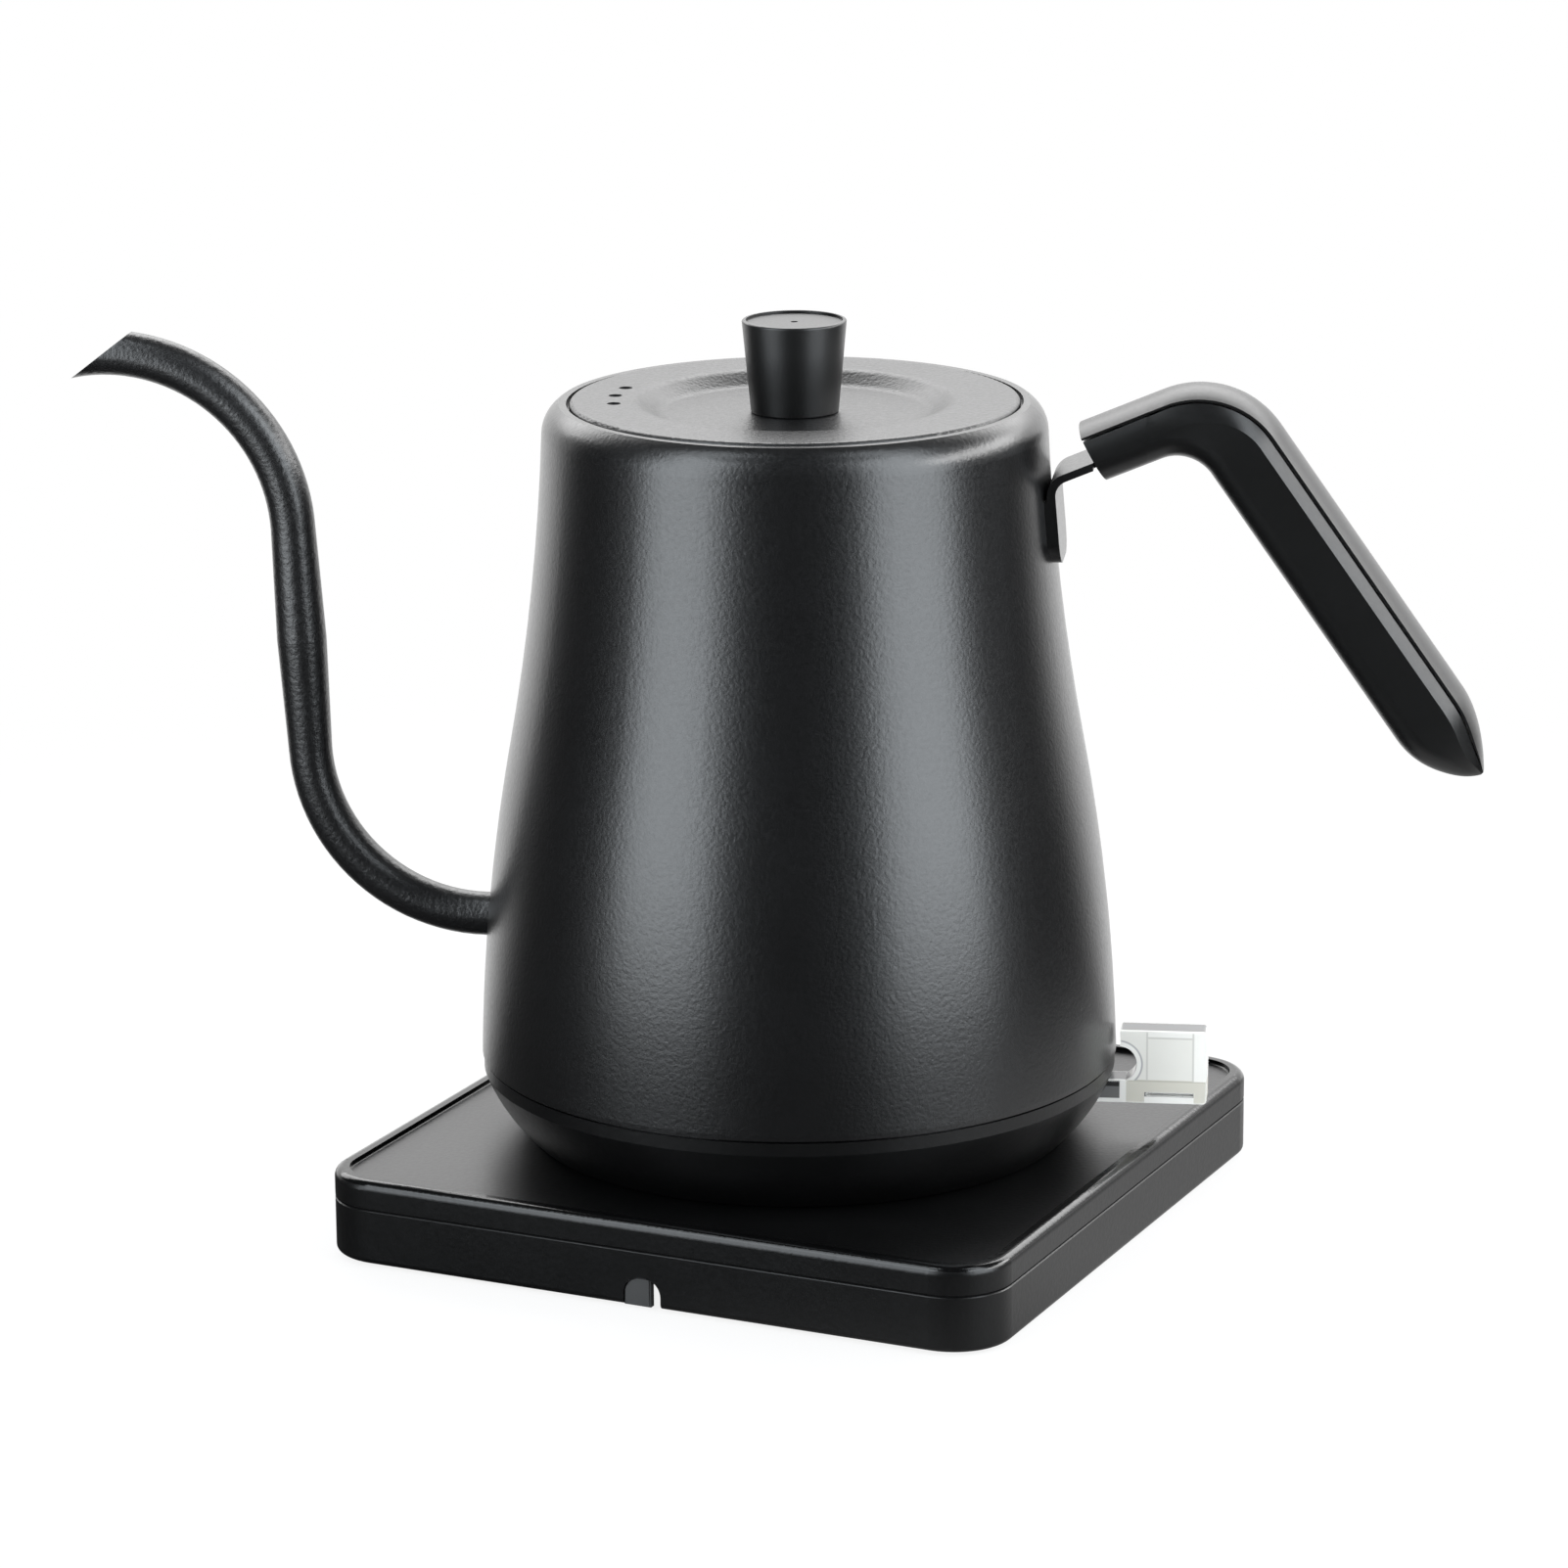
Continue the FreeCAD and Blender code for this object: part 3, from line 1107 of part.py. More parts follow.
def section(station, upper):
    """A wire across one shell of the handle: the crowned cap, or the body under the seam."""
    inner, outer, width, facet = station
    thick = (inner - outer).Length
    down = (inner - outer).normalize()
    full = min(1.0, thick / size("handle_top_thick"))
    side = FreeCAD.Vector(0, 1, 0)
    half = width / 2

    def between(top_size, grip_size):
        return full * (size(top_size) + (size(grip_size) - size(top_size)) * facet)

    def place(y, depth):
        return outer + side * y + down * depth

    def arc(start, middle, end):
        return Part.Arc(place(*start), place(*middle), place(*end)).toShape()

    def line(start, end):
        return Part.LineSegment(place(*start), place(*end)).toShape()

    def mirrored(point):
        return -point[0], point[1]

    gap = size("handle_seam_gap") / 2 * full
    seam_half = half - min(between("handle_tuck", "grip_tuck"), half * TUCK_SHARE)
    seam = between("handle_seam", "grip_seam")
    if upper:
        seat = (seam_half, seam - gap)
        brim = (seam_half, seam - gap - size("handle_brim") * full)
        return Part.Wire([line(mirrored(seat), mirrored(brim)), arc(mirrored(brim), (0, 0), brim),
                          line(brim, seat), line(seat, mirrored(seat))])
    # The flank is an arc that runs into the upright side, and flattens into a facet along the grip.
    top = (seam_half, seam + gap)
    low = (half, top[1] + between("handle_flank", "grip_facet"))
    tuck = half - seam_half
    tall = low[1] - top[1]
    flank_r = (tuck ** 2 + tall ** 2) / (2 * tuck)
    turn = math.asin(tall / flank_r) / 2
    curved = (half - flank_r * (1 - math.cos(turn)), low[1] - flank_r * math.sin(turn))
    keep = 1 - facet * (1 - FACET_CURVE)
    flank = tuple((a + b) / 2 + (c - (a + b) / 2) * keep for a, b, c in zip(top, low, curved))
    edge = min(size("handle_edge") * full, width * EDGE_SHARE)
    round_start = (half, max(thick - edge, low[1] + (thick - low[1]) * SIDE_SHARE))
    bottom = (half - edge, thick)
    rounding = (half - edge * (1 - math.sin(math.pi / 4)),
                round_start[1] + (thick - round_start[1]) * math.sin(math.pi / 4))
    return Part.Wire([line(mirrored(top), top), arc(top, flank, low), line(low, round_start),
                      arc(round_start, rounding, bottom), line(bottom, mirrored(bottom)),
                      arc(mirrored(bottom), mirrored(rounding), mirrored(round_start)),
                      line(mirrored(round_start), mirrored(low)),
                      arc(mirrored(low), mirrored(flank), mirrored(top))])


def loft_stretches(stretches, upper):
    """One shell of the handle, its stretches lofted one by one and joined."""
    solids = []
    for stretch in stretches:
        wires = [section(station, upper) for station in stretch]
        straight = len(wires) == 2
        solids.append(Part.makeLoft(wires, True, straight, False, LOFT_DEGREE))
    return solids[0].fuse(solids[1:]).removeSplitter()


def make_handle(strap):
    _, top_way, _, top_out, _ = handle_line()
    stretches = handle_stretches()
    outer = loft_stretches(stretches, True)
    inner = loft_stretches(stretches, False)
    first_inner = stretches[0][0][0]
    start = first_inner + top_out * size(f"{STRAP_RISE} - strap_gap")
    thick = size("strap_thick + 2 * strap_gap")
    width = size("strap_tongue_width + 2 * strap_gap")
    length = size("strap_tongue + strap_gap")
    ahead = size("handle_end_skew") + OVERCUT
    tongue = Part.makeBox(length + ahead, width, thick, FreeCAD.Vector(-ahead, -width / 2, 0))
    tilt = FreeCAD.Rotation(FreeCAD.Vector(0, 1, 0), -size("handle_rise"))
    tongue.Placement = FreeCAD.Placement(start, tilt)
    shank = size("screw_r")
    head_r = size("screw_head_r")
    head = size("screw_head")
    screws = []
    sinks = []
    strap_holes = []
    for i in range(2):
        along = size(f"handle_screw_first + {i} * handle_screw_pitch")
        foot = first_inner + top_way * along
        deep = size("handle_top_thick - handle_screw_cover")
        low = foot + top_out * size("handle_screw_sunk")
        shaft = Part.makeCylinder(shank, deep - size("handle_screw_sunk"), low, top_out)
        screws.append(Part.makeCylinder(head_r, head, low, top_out).fuse(shaft).removeSplitter())
        grown = size("screw_gap")
        depth = size("handle_screw_sunk") + head + OVERCUT
        sink = Part.makeCylinder(head_r + grown, depth, foot - top_out * OVERCUT, top_out)
        sinks.append(sink.fuse(Part.makeCylinder(shank, deep, foot, top_out)))
        strap_holes.append(Part.makeCylinder(shank + grown, size("handle_top_thick"), foot, top_out))
    tools = [tongue] + sinks
    node(feature("handle_outer_shell", outer.cut(tools)), "handle_outer_shell")
    node(feature("handle_inner_shell", inner.cut(tools)), "handle_inner_shell")
    node(feature("handle_screws", Part.makeCompound(screws)), "handle_screws")
    node(cut("handle_strap", strap, [feature("strap_holes", Part.makeCompound(strap_holes))]), "handle_strap")


# Heights of the strap's two faces over the handle's inner edge, and tries at where its bend stands
STRAP_TOP = "(handle_top_thick - handle_seam - strap_sunk)"
STRAP_RISE = f"({STRAP_TOP} - strap_thick)"
BEND_TRIES = 5


# Strap: a flat steel strip, its plate on the wall, bent out to the handle and narrower inside it
def wall_reach(form, height):
    """How far the vessel's wall stands from the axis at one height."""
    far = FreeCAD.Vector(2 * size("vessel_r"), 0, height)
    return Part.makeLine(FreeCAD.Vector(0, 0, height), far).common(form.Shape).BoundBox.XMax


def make_strap(form):
    rise = "handle_rise"
    start_x = f"({HANDLE_X} - handle_top_length * cos({rise}))"
    start_z = f"(handle_corner_z - handle_top_length * sin({rise}))"
    end_x = f"({start_x} - {STRAP_RISE} * sin({rise}) + strap_tongue * cos({rise}))"
    end_z = f"({start_z} + {STRAP_RISE} * cos({rise}) + strap_tongue * sin({rise}))"
    thick = size("strap_thick")
    low_x = measured("strap_low_x", wall_reach(form, size("strap_low_z")) + thick)
    # The plate follows the wall up to where the line of the tongue meets it.
    reach = size(low_x)
    for _ in range(BEND_TRIES):
        reach = wall_reach(form, size(f"{end_z} - ({end_x} - {reach}) * tan({rise})")) + thick
    bend_x = measured("strap_bend_x", reach)
    bend_z = f"({end_z} - ({end_x} - {bend_x}) * tan({rise}))"
    back_x = f"({bend_x} - strap_thick)"
    top_z = f"({bend_z} + strap_thick / cos({rise}) - strap_thick * tan({rise}))"
    hidden = f"({RIM_R} + steel_wall)"
    rest_z = f"({bend_z} - strap_bend)"
    strip = slab("strap_strip", [
        (hidden, "strap_low_z"), (low_x, "strap_low_z"), (bend_x, bend_z, "strap_bend"),
        (end_x, end_z),
        (f"{end_x} - strap_thick * sin({rise})", f"{end_z} + strap_thick * cos({rise})"),
        (back_x, top_z, "strap_bend + strap_thick"), (back_x, rest_z), (hidden, rest_z)], "strap_width")
    low_edges = []
    for i, edge in enumerate(strip.Tip.Shape.Edges, start=1):
        box = edge.BoundBox
        level = box.ZMax - size("strap_low_z") < NEAR
        if level and abs(abs(box.YMin) - size("strap_width / 2")) < NEAR and box.YLength < NEAR:
            low_edges.append(f"Edge{i}")
    dress(strip, "Fillet", low_edges, "strap_corner")
    sides = []
    # The strap narrows where it meets the handle's slanting end.
    slant = f"handle_end_skew * {STRAP_TOP} / handle_top_thick"
    tongue_x = f"({start_x} - {STRAP_TOP} * sin({rise}) - {slant} * cos({rise}) - strap_gap)"
    for side in (-1, 1):
        near = "strap_tongue_width / 2" if side == 1 else "-strap_width"
        far = "strap_width" if side == 1 else "-strap_tongue_width / 2"
        sides.append(block("strap_side", (tongue_x, f"{end_x} + {OVERCUT}"), (near, far),
                           (bend_z, f"{end_z} + strap_width")))
    return cut("strap_on_wall", strip, [form] + sides)


# Lid: a dished steel cover, a cup under it, a sealing ring and a knob held by one screw
def make_lid():
    edge_low = "(lid_z - lid_edge)"
    top_low = "(lid_z - lid_wall)"
    hole = "(knob_screw_r + screw_gap)"
    step_r = f"({LID_R} - lid_step_inset)"
    dish_r = f"({step_r} - lid_step_run)"
    disc = turned("lid_disc", [
        (hole, DISH_Z), (hole, DISH_LOW), (dish_r, DISH_LOW, "lid_step_round"),
        (step_r, top_low, "lid_step_round"), (f"{LID_R} - lid_wall", top_low),
        (f"{LID_R} - lid_wall", edge_low), (LID_R, edge_low), (LID_R, "lid_z", "lid_round"),
        (step_r, "lid_z", "lid_step_round"), (dish_r, DISH_Z, "lid_step_round")])
    vents = []
    for i in (-1, 0, 1):
        angle = f"(180 + {i} * vent_pitch)"
        vents.append(cylinder("vent", "vent_r", f"{DISH_LOW} - {OVERCUT}", f"lid_z + {OVERCUT}",
                              f"{LID_R} - vent_inset", "0", angle))
    node(cut("lid_cover", disc, vents), "lid_cover")
    inner = f"({LINER_R} - seal_depth - lid_wall)"
    groove_r = f"({LINER_R} - seal_depth)"
    groove_low = f"({LINER_LOW} + seal_rise - seal_gap)"
    groove_top = f"({LINER_LOW} + seal_rise + seal_height + seal_gap)"
    floor = f"({LINER_LOW} + lid_wall)"
    cup = turned("liner_cup", [
        ("0", LINER_LOW), (LINER_R, LINER_LOW), (LINER_R, groove_low), (groove_r, groove_low),
        (groove_r, groove_top), (LINER_R, groove_top), (LINER_R, LINER_TOP), (inner, LINER_TOP),
        (inner, floor), ("0", floor)])
    holes = [cylinder("steam_hole", "steam_hole_r", f"{LINER_LOW} - {OVERCUT}", f"{floor} + {OVERCUT}", x, y)
             for x, y in ring_places("steam_ring_r", 8, 0)]
    node(cut("lid_liner", cup, holes), "lid_liner")
    seal_in = f"({groove_r} + seal_gap)"
    seal_out = f"({LIP_R} - seal_lip_gap)"
    seal_low = f"({LINER_LOW} + seal_rise)"
    seal_top = f"({seal_low} + seal_height)"
    node(turned("lid_seal", [
        (seal_in, seal_low), (seal_out, seal_low, "seal_height / 4"), (seal_out, seal_top, "seal_height / 4"),
        (seal_in, seal_top)]), "lid_seal")
    cap_low = f"({KNOB_TOP} - cap_sunk - cap_thick)"
    recess_r = "(knob_top_r - knob_rim)"
    bore_top = f"({DISH_Z} + knob_screw_length)"
    node(turned("lid_knob", [
        ("knob_screw_r", DISH_Z), ("knob_low_r", DISH_Z, "knob_round"),
        ("knob_top_r", KNOB_TOP, "knob_round"), (recess_r, KNOB_TOP), (recess_r, cap_low), ("0", cap_low),
        ("0", bore_top), ("knob_screw_r", bore_top)]), "lid_knob")
    cap_top = f"({KNOB_TOP} - cap_sunk)"
    node(turned("knob_cap", [
        ("0", cap_low), (recess_r, cap_low), (recess_r, cap_top), ("dimple_r", cap_top),
        ("dimple_r", f"{cap_top} - dimple_depth"), ("0", f"{cap_top} - dimple_depth")]), "knob_cap")
    washer_low = f"({DISH_LOW} - washer_thick)"
    node(turned("knob_washer", [
        (hole, washer_low), ("washer_r", washer_low), ("washer_r", DISH_LOW),
        (hole, DISH_LOW)]), "knob_washer")
    shank = "lid_wall + washer_thick + knob_screw_length"
    node(screw("knob_screw", "knob_screw_r", "knob_screw_head_r", "knob_screw_head", shank, "0", "0",
               f"{washer_low} - knob_screw_head"), "knob_screw")


vessel_form = make_vessel()
make_handle(make_strap(vessel_form))
make_spout(vessel_form)
make_heater()
make_control()
make_bottom_cover()
make_switch()
make_lid()
make_kettle_socket()
make_base_tray()
make_base_cover()
make_base_fixings()
make_base_connector()
doc.recompute()

# Nothing is written unless every object came out sound
for thing in doc.Objects:
    bad = {"Invalid", "Error"} & set(thing.State)
    if bad:
        raise RuntimeError(f"{thing.Label}: {sorted(bad)}")
for piece in nodes:
    if piece.Shape.isNull() or not piece.Shape.isValid() or not piece.Shape.Solids:
        raise RuntimeError(f"{piece.Label}: no sound solid")

os.makedirs("parts", exist_ok=True)
for piece in nodes:
    piece.Shape.exportStep(os.path.join("parts", piece.Label + ".step"))
    box = piece.Shape.BoundBox
    print(f"{piece.Label}: {len(piece.Shape.Solids)} solids, {piece.Shape.Volume:.1f} mm3, "
          f"x {box.XMin:.1f} to {box.XMax:.1f}, y {box.YMin:.1f} to {box.YMax:.1f}, "
          f"z {box.ZMin:.1f} to {box.ZMax:.1f}")
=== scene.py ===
# %% [markdown]
# # A black gooseneck kettle, dressed in Blender
#
# The solid model arrives as a frame of named pieces, in metres: the kettle's axis is Z, the spout
# points along -X and the handle along +X. This lesson gives each piece the finish it has on the real
# kettle, then sets up a plain white studio and a camera that stands where the photographer stood.

import math

import bmesh
import bpy
from mathutils import Matrix, Vector


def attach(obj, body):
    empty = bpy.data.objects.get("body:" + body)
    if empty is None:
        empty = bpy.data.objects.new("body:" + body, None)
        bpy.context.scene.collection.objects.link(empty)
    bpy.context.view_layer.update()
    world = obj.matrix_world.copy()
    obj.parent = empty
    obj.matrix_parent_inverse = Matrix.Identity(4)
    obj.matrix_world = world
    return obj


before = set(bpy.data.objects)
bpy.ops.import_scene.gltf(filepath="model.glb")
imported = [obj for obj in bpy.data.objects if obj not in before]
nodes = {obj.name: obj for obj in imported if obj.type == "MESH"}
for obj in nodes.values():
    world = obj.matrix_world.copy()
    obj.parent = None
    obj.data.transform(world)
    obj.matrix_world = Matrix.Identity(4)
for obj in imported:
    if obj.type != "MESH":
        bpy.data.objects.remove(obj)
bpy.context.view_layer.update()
print("pieces loaded:", len(nodes))

# %% [markdown]
# ## The camera
#
# The photograph was taken from a little above the lid with a long lens, so the base's sides hardly
# converge. A camera can be placed by eye, but here its place was worked out from the rims of the
# kettle, which are circles in space and ellipses in the picture. The camera is built from three
# directions: where it looks, which way is right and which way is up, with a slight roll.

# %% Place the camera
CAMERA_AT = Vector((0.1359, -1.1286, 0.3908))
CAMERA_LOOKS_AT = Vector((-0.0027, -0.0003, 0.0874))
CAMERA_ROLL = math.radians(-0.45)
CAMERA_LENS = 134.87
CAMERA_SENSOR = 36.0

forward = (CAMERA_LOOKS_AT - CAMERA_AT).normalized()
level_right = forward.cross(Vector((0, 0, 1))).normalized()
level_up = level_right.cross(forward)
right = level_right * math.cos(CAMERA_ROLL) + level_up * math.sin(CAMERA_ROLL)
up = right.cross(forward)
camera_data = bpy.data.cameras.new("studio_camera")
camera_data.sensor_width = CAMERA_SENSOR
camera_data.lens = CAMERA_LENS
camera = bpy.data.objects.new("studio_camera", camera_data)
bpy.context.collection.objects.link(camera)
turned = Matrix((right, up, -forward)).transposed().to_4x4()
camera.matrix_world = Matrix.Translation(CAMERA_AT) @ turned
bpy.context.scene.camera = camera
print("camera distance", round((CAMERA_AT - CAMERA_LOOKS_AT).length, 3), "m")

# %% [markdown]
# ## A kit for finishes
#
# Every finish on this kettle has a grain of its own: the powder coat is pebbled, moulded plastic has
# a spark-eroded texture and bare metal is slightly uneven. A picture could be wrapped round each piece,
# but noise in the object's own space needs no unwrapping and keeps its size on every piece. The
# helper below makes one such finish: colour that drifts a little, roughness that varies, and a fine
# bump. What is the same all over is set straight on the shader.

# %% Make one finish
GRAIN_HEIGHT = 0.00012
GRAIN_DETAIL = 2.0
DRIFT_SCALE = 60.0
DRIFT_DETAIL = 4.0
NOISE_LOW = 0.3
NOISE_HIGH = 0.7


def noise(tree, coordinates, scale, detail):
    """Noise at so many grains per metre."""
    texture = tree.nodes.new("ShaderNodeTexNoise")
    texture.inputs["Scale"].default_value = scale
    texture.inputs["Detail"].default_value = detail
    tree.links.new(coordinates, texture.inputs["Vector"])
    return texture.outputs["Fac"]


def spread(tree, value, low, high):
    """Turn noise, which keeps near its middle, into values from low to high."""
    ramp = tree.nodes.new("ShaderNodeMapRange")
    ramp.inputs["From Min"].default_value = NOISE_LOW
    ramp.inputs["From Max"].default_value = NOISE_HIGH
    ramp.inputs["To Min"].default_value = low
    ramp.inputs["To Max"].default_value = high
    tree.links.new(value, ramp.inputs["Value"])
    return ramp.outputs["Result"]


def make_finish(name, dark, light, rough, grain, bump, **plain):
    """A finish with drifting colour, varied roughness, a fine grain and some plain settings."""
    material = bpy.data.materials.new(name)
    material.use_nodes = True
    tree = material.node_tree
    shader = tree.nodes["Principled BSDF"]
    for socket, value in plain.items():
        shader.inputs[socket.replace("_", " ")].default_value = value
    coordinates = tree.nodes.new("ShaderNodeTexCoord").outputs["Object"]
    colours = tree.nodes.new("ShaderNodeValToRGB")
    for end, place, colour in ((0, NOISE_LOW, dark), (1, NOISE_HIGH, light)):
        colours.color_ramp.elements[end].position = place
        colours.color_ramp.elements[end].color = (*colour, 1.0)
    tree.links.new(noise(tree, coordinates, DRIFT_SCALE, DRIFT_DETAIL), colours.inputs["Fac"])
    tree.links.new(colours.outputs["Color"], shader.inputs["Base Color"])
    fine = noise(tree, coordinates, grain, GRAIN_DETAIL)
    tree.links.new(spread(tree, fine, *rough), shader.inputs["Roughness"])
    relief = tree.nodes.new("ShaderNodeBump")
    relief.inputs["Strength"].default_value = bump
    relief.inputs["Distance"].default_value = GRAIN_HEIGHT
    tree.links.new(fine, relief.inputs["Height"])
    tree.links.new(relief.outputs["Normal"], shader.inputs["Normal"])
    return material


def dress(material, *names):
    """Put a finish on CAD pieces."""
    for name in names:
        piece = nodes[name]
        if not piece.material_slots:
            piece.data.materials.append(material)
        for slot in piece.material_slots:
            slot.material = material
    print(material.name, "on", len(names), "pieces")


def grey(level, cool=1.0):
    """A grey as a colour, a little cool where asked."""
    return (level, level, level * cool)


# %% [markdown]
# ## Black powder coat and black plastic
#
# The vessel, the spout, the lid and the strip that carries the handle are steel with a satin powder
# coat, a dry paint that is baked on and stays slightly pebbled. On the spout and the lid the pebbles are
# deeper, so each has a coat of its own. The base and the bottom cover are moulded plastic of the same
# black, and the handle and the knob have a finer, softer black. All are very dark, and most of what is
# seen is the white studio, mirrored softly, so the gloss matters more than the colour.

# %% Coat the black pieces
COAT_COOL = 1.1
PLASTIC_COOL = 1.05


def moulded_black(name):
    """The base's black plastic, which two finishes start from."""
    return make_finish(name, grey(0.002, PLASTIC_COOL), grey(0.003, PLASTIC_COOL), rough=(0.29, 0.34),
                       grain=1100.0, bump=0.25, Specular_IOR_Level=0.44)


powder_coat = make_finish("powder_coat", grey(0.002, COAT_COOL), grey(0.003, COAT_COOL),
                          rough=(0.275, 0.325), grain=1250.0, bump=0.36, Specular_IOR_Level=0.75)
spout_coat = make_finish("spout_coat", grey(0.003, COAT_COOL), grey(0.004, COAT_COOL),
                         rough=(0.32, 0.385), grain=1150.0, bump=0.8, Specular_IOR_Level=0.8)
lid_coat = make_finish("lid_coat", grey(0.003, COAT_COOL), grey(0.004, COAT_COOL),
                       rough=(0.345, 0.415), grain=1300.0, bump=0.8, Specular_IOR_Level=0.68)
moulded_base = moulded_black("moulded_base")
handle_skin = make_finish("handle_skin", grey(0.002), grey(0.003), rough=(0.32, 0.36),
                          grain=1400.0, bump=0.015, Specular_IOR_Level=0.5)
knob_skin = make_finish("knob_skin", grey(0.003), grey(0.004), rough=(0.36, 0.40),
                        grain=1600.0, bump=0.1, Specular_IOR_Level=0.56)
control_plastic = make_finish("control_plastic", grey(0.03), grey(0.045), rough=(0.5, 0.6),
                              grain=2400.0, bump=0.3)
dress(powder_coat, "vessel", "neck_ring", "handle_strap")
dress(spout_coat, "spout_tube")
dress(lid_coat, "lid_cover")
dress(moulded_base, "base_tray", "bottom_cover")
dress(handle_skin, "handle_outer_shell", "handle_inner_shell")
dress(knob_skin, "lid_knob", "knob_cap")
dress(control_plastic, "base_connector", "control_housing", "kettle_socket")

# %% [markdown]
# ## Steel, aluminium and brass
#
# Most of these pieces are hidden inside: steel, which is nearly smooth, an aluminium plate, which has
# the sandy skin of a casting, and brass contacts. All are bare metal, so the shader's colour only tints
# what they mirror.

# %% Finish the metal pieces
METAL_COOL = 1.02

plain_steel = make_finish("plain_steel", grey(0.50, METAL_COOL), grey(0.60, METAL_COOL),
                          rough=(0.25, 0.38), grain=1500.0, bump=0.12, Metallic=1.0)
cast_aluminium = make_finish("cast_aluminium", grey(0.60, METAL_COOL), grey(0.70, METAL_COOL),
                             rough=(0.42, 0.55), grain=1200.0, bump=0.3, Metallic=1.0)
contact_brass = make_finish("contact_brass", (0.62, 0.48, 0.22), (0.74, 0.58, 0.30),
                            rough=(0.25, 0.4), grain=1500.0, bump=0.15, Metallic=1.0)
dress(plain_steel, "vessel_floor", "heating_element", "control_screws", "bimetal_disc", "bottom_screws",
      "lever_pin", "switch_spring", "handle_screws", "lid_liner", "knob_washer", "knob_screw",
      "base_screws", "connector_screws")
dress(cast_aluminium, "heat_spreader")
dress(contact_brass, "connector_pin_contact", "connector_ring_contact", "connector_tabs", "socket_pin",
      "socket_ring", "element_terminals")

# %% [markdown]
# ## Silicone and glass
#
# The feet and the lid's ring are dark silicone, which is matt and slightly uneven. The lamp in the foot
# is a drop of clear glass, which needs hardly any grain.

# %% Finish the silicone and the glass
dark_silicone = make_finish("dark_silicone", grey(0.030), grey(0.045), rough=(0.6, 0.72),
                            grain=1800.0, bump=0.3)
dress(dark_silicone, "base_feet", "lid_seal")

lamp_glass = make_finish("lamp_glass", (0.94, 0.92, 0.88), (0.98, 0.97, 0.95), rough=(0.04, 0.09),
                         grain=800.0, bump=0.03, Transmission_Weight=0.95)
dress(lamp_glass, "indicator_lamp")

# %% [markdown]
# ## The clear switch
#
# The switch is a hollow paddle of clear, slightly milky plastic, so that the lamp can shine through it.
# Its edges get a painted white highlight, its upward faces a painted highlight with painted shade on the
# top, and its arm painted shade where it enters the kettle. A glass shader alone gives a clear block with
# black lines in it, so this finish is a milky one, and masks made from the piece's own shape lay other
# tones over it: the Bevel node finds the edges, the normal finds the top, and the position finds the rest.
# The walls of the hollow show through the face as fine grey lines inside a painted highlight border, the
# round notch has a painted highlight border too, and below a painted shade line at a fold lie the thicker
# band at the foot, its groove in painted shade and the groove's lower lip in painted highlight.

# %% Where the tones, painted highlights and painted shade of the switch lie
FINE_LINE = 0.00025
BELOW_Z = 0.020
ABOVE_Z = 0.040
BEYOND_X = 0.085
ARM_START_X = 0.050
POST_START_X = 0.0652
BAND_START_X = 0.0664
BAND_TOP_Z = 0.0280
ARM_TOP_Z = 0.0282
BORDER_START_X = 0.0800
BORDER_LOW_Z = 0.0373
LEFT_LINE_START_X = 0.0705
GROOVE_LOW_Z = 0.0249

ARM_X = (ARM_START_X, POST_START_X)
ARM_Z = (BELOW_Z, ARM_TOP_Z)
# The arm's bar carries painted shade and its lower edge a painted highlight.
ARM_SHADOW_Z = (0.0269, ARM_TOP_Z)
ARM_HIGHLIGHT_Z = (BELOW_Z, 0.0243)
POST_HIGHLIGHT_X = (POST_START_X, BAND_START_X)
BAND_X = (BAND_START_X, BEYOND_X)
BAND_Z = (BELOW_Z, BAND_TOP_Z)
FOLD_SHADE_Z = (BAND_TOP_Z, BAND_TOP_Z + FINE_LINE)
GROOVE_X = (0.0702, BORDER_START_X)
GROOVE_Z = (GROOVE_LOW_Z, 0.0257)
LIP_HIGHLIGHT_Z = (BELOW_Z, GROOVE_LOW_Z)
FACE_Z = (BAND_TOP_Z + FINE_LINE, ABOVE_Z)
RIGHT_HIGHLIGHT_X = (BORDER_START_X, BEYOND_X)
RIGHT_LINE_X = (BORDER_START_X - FINE_LINE, BORDER_START_X)
LEFT_LINE_X = (LEFT_LINE_START_X, LEFT_LINE_START_X + FINE_LINE)
TOP_HIGHLIGHT_Z = (BORDER_LOW_Z, ABOVE_Z)
TOP_LINE_X = (LEFT_LINE_START_X, BORDER_START_X)
TOP_LINE_Z = (BORDER_LOW_Z - FINE_LINE, BORDER_LOW_Z)

# Painted shade: the arm's grey and its darker bar stand in for shade where the arm enters the kettle.
ARM_SHADE_GREY = grey(0.16)
ARM_SHADOW_DARK = grey(0.03)
BAND_BEIGE = (0.72, 0.70, 0.62)
# Painted shade: a grey line along the fold above the band.
FOLD_SHADE_GREY = (0.60, 0.58, 0.50)
LINE_GREY = (0.70, 0.69, 0.65)
# Painted shade in the groove.
GROOVE_SHADE_GREY = grey(0.16)
# Painted highlight: the white of the switch's edges, borders, lip, post and upward faces.
HIGHLIGHT_WHITE = (0.98, 0.97, 0.93)

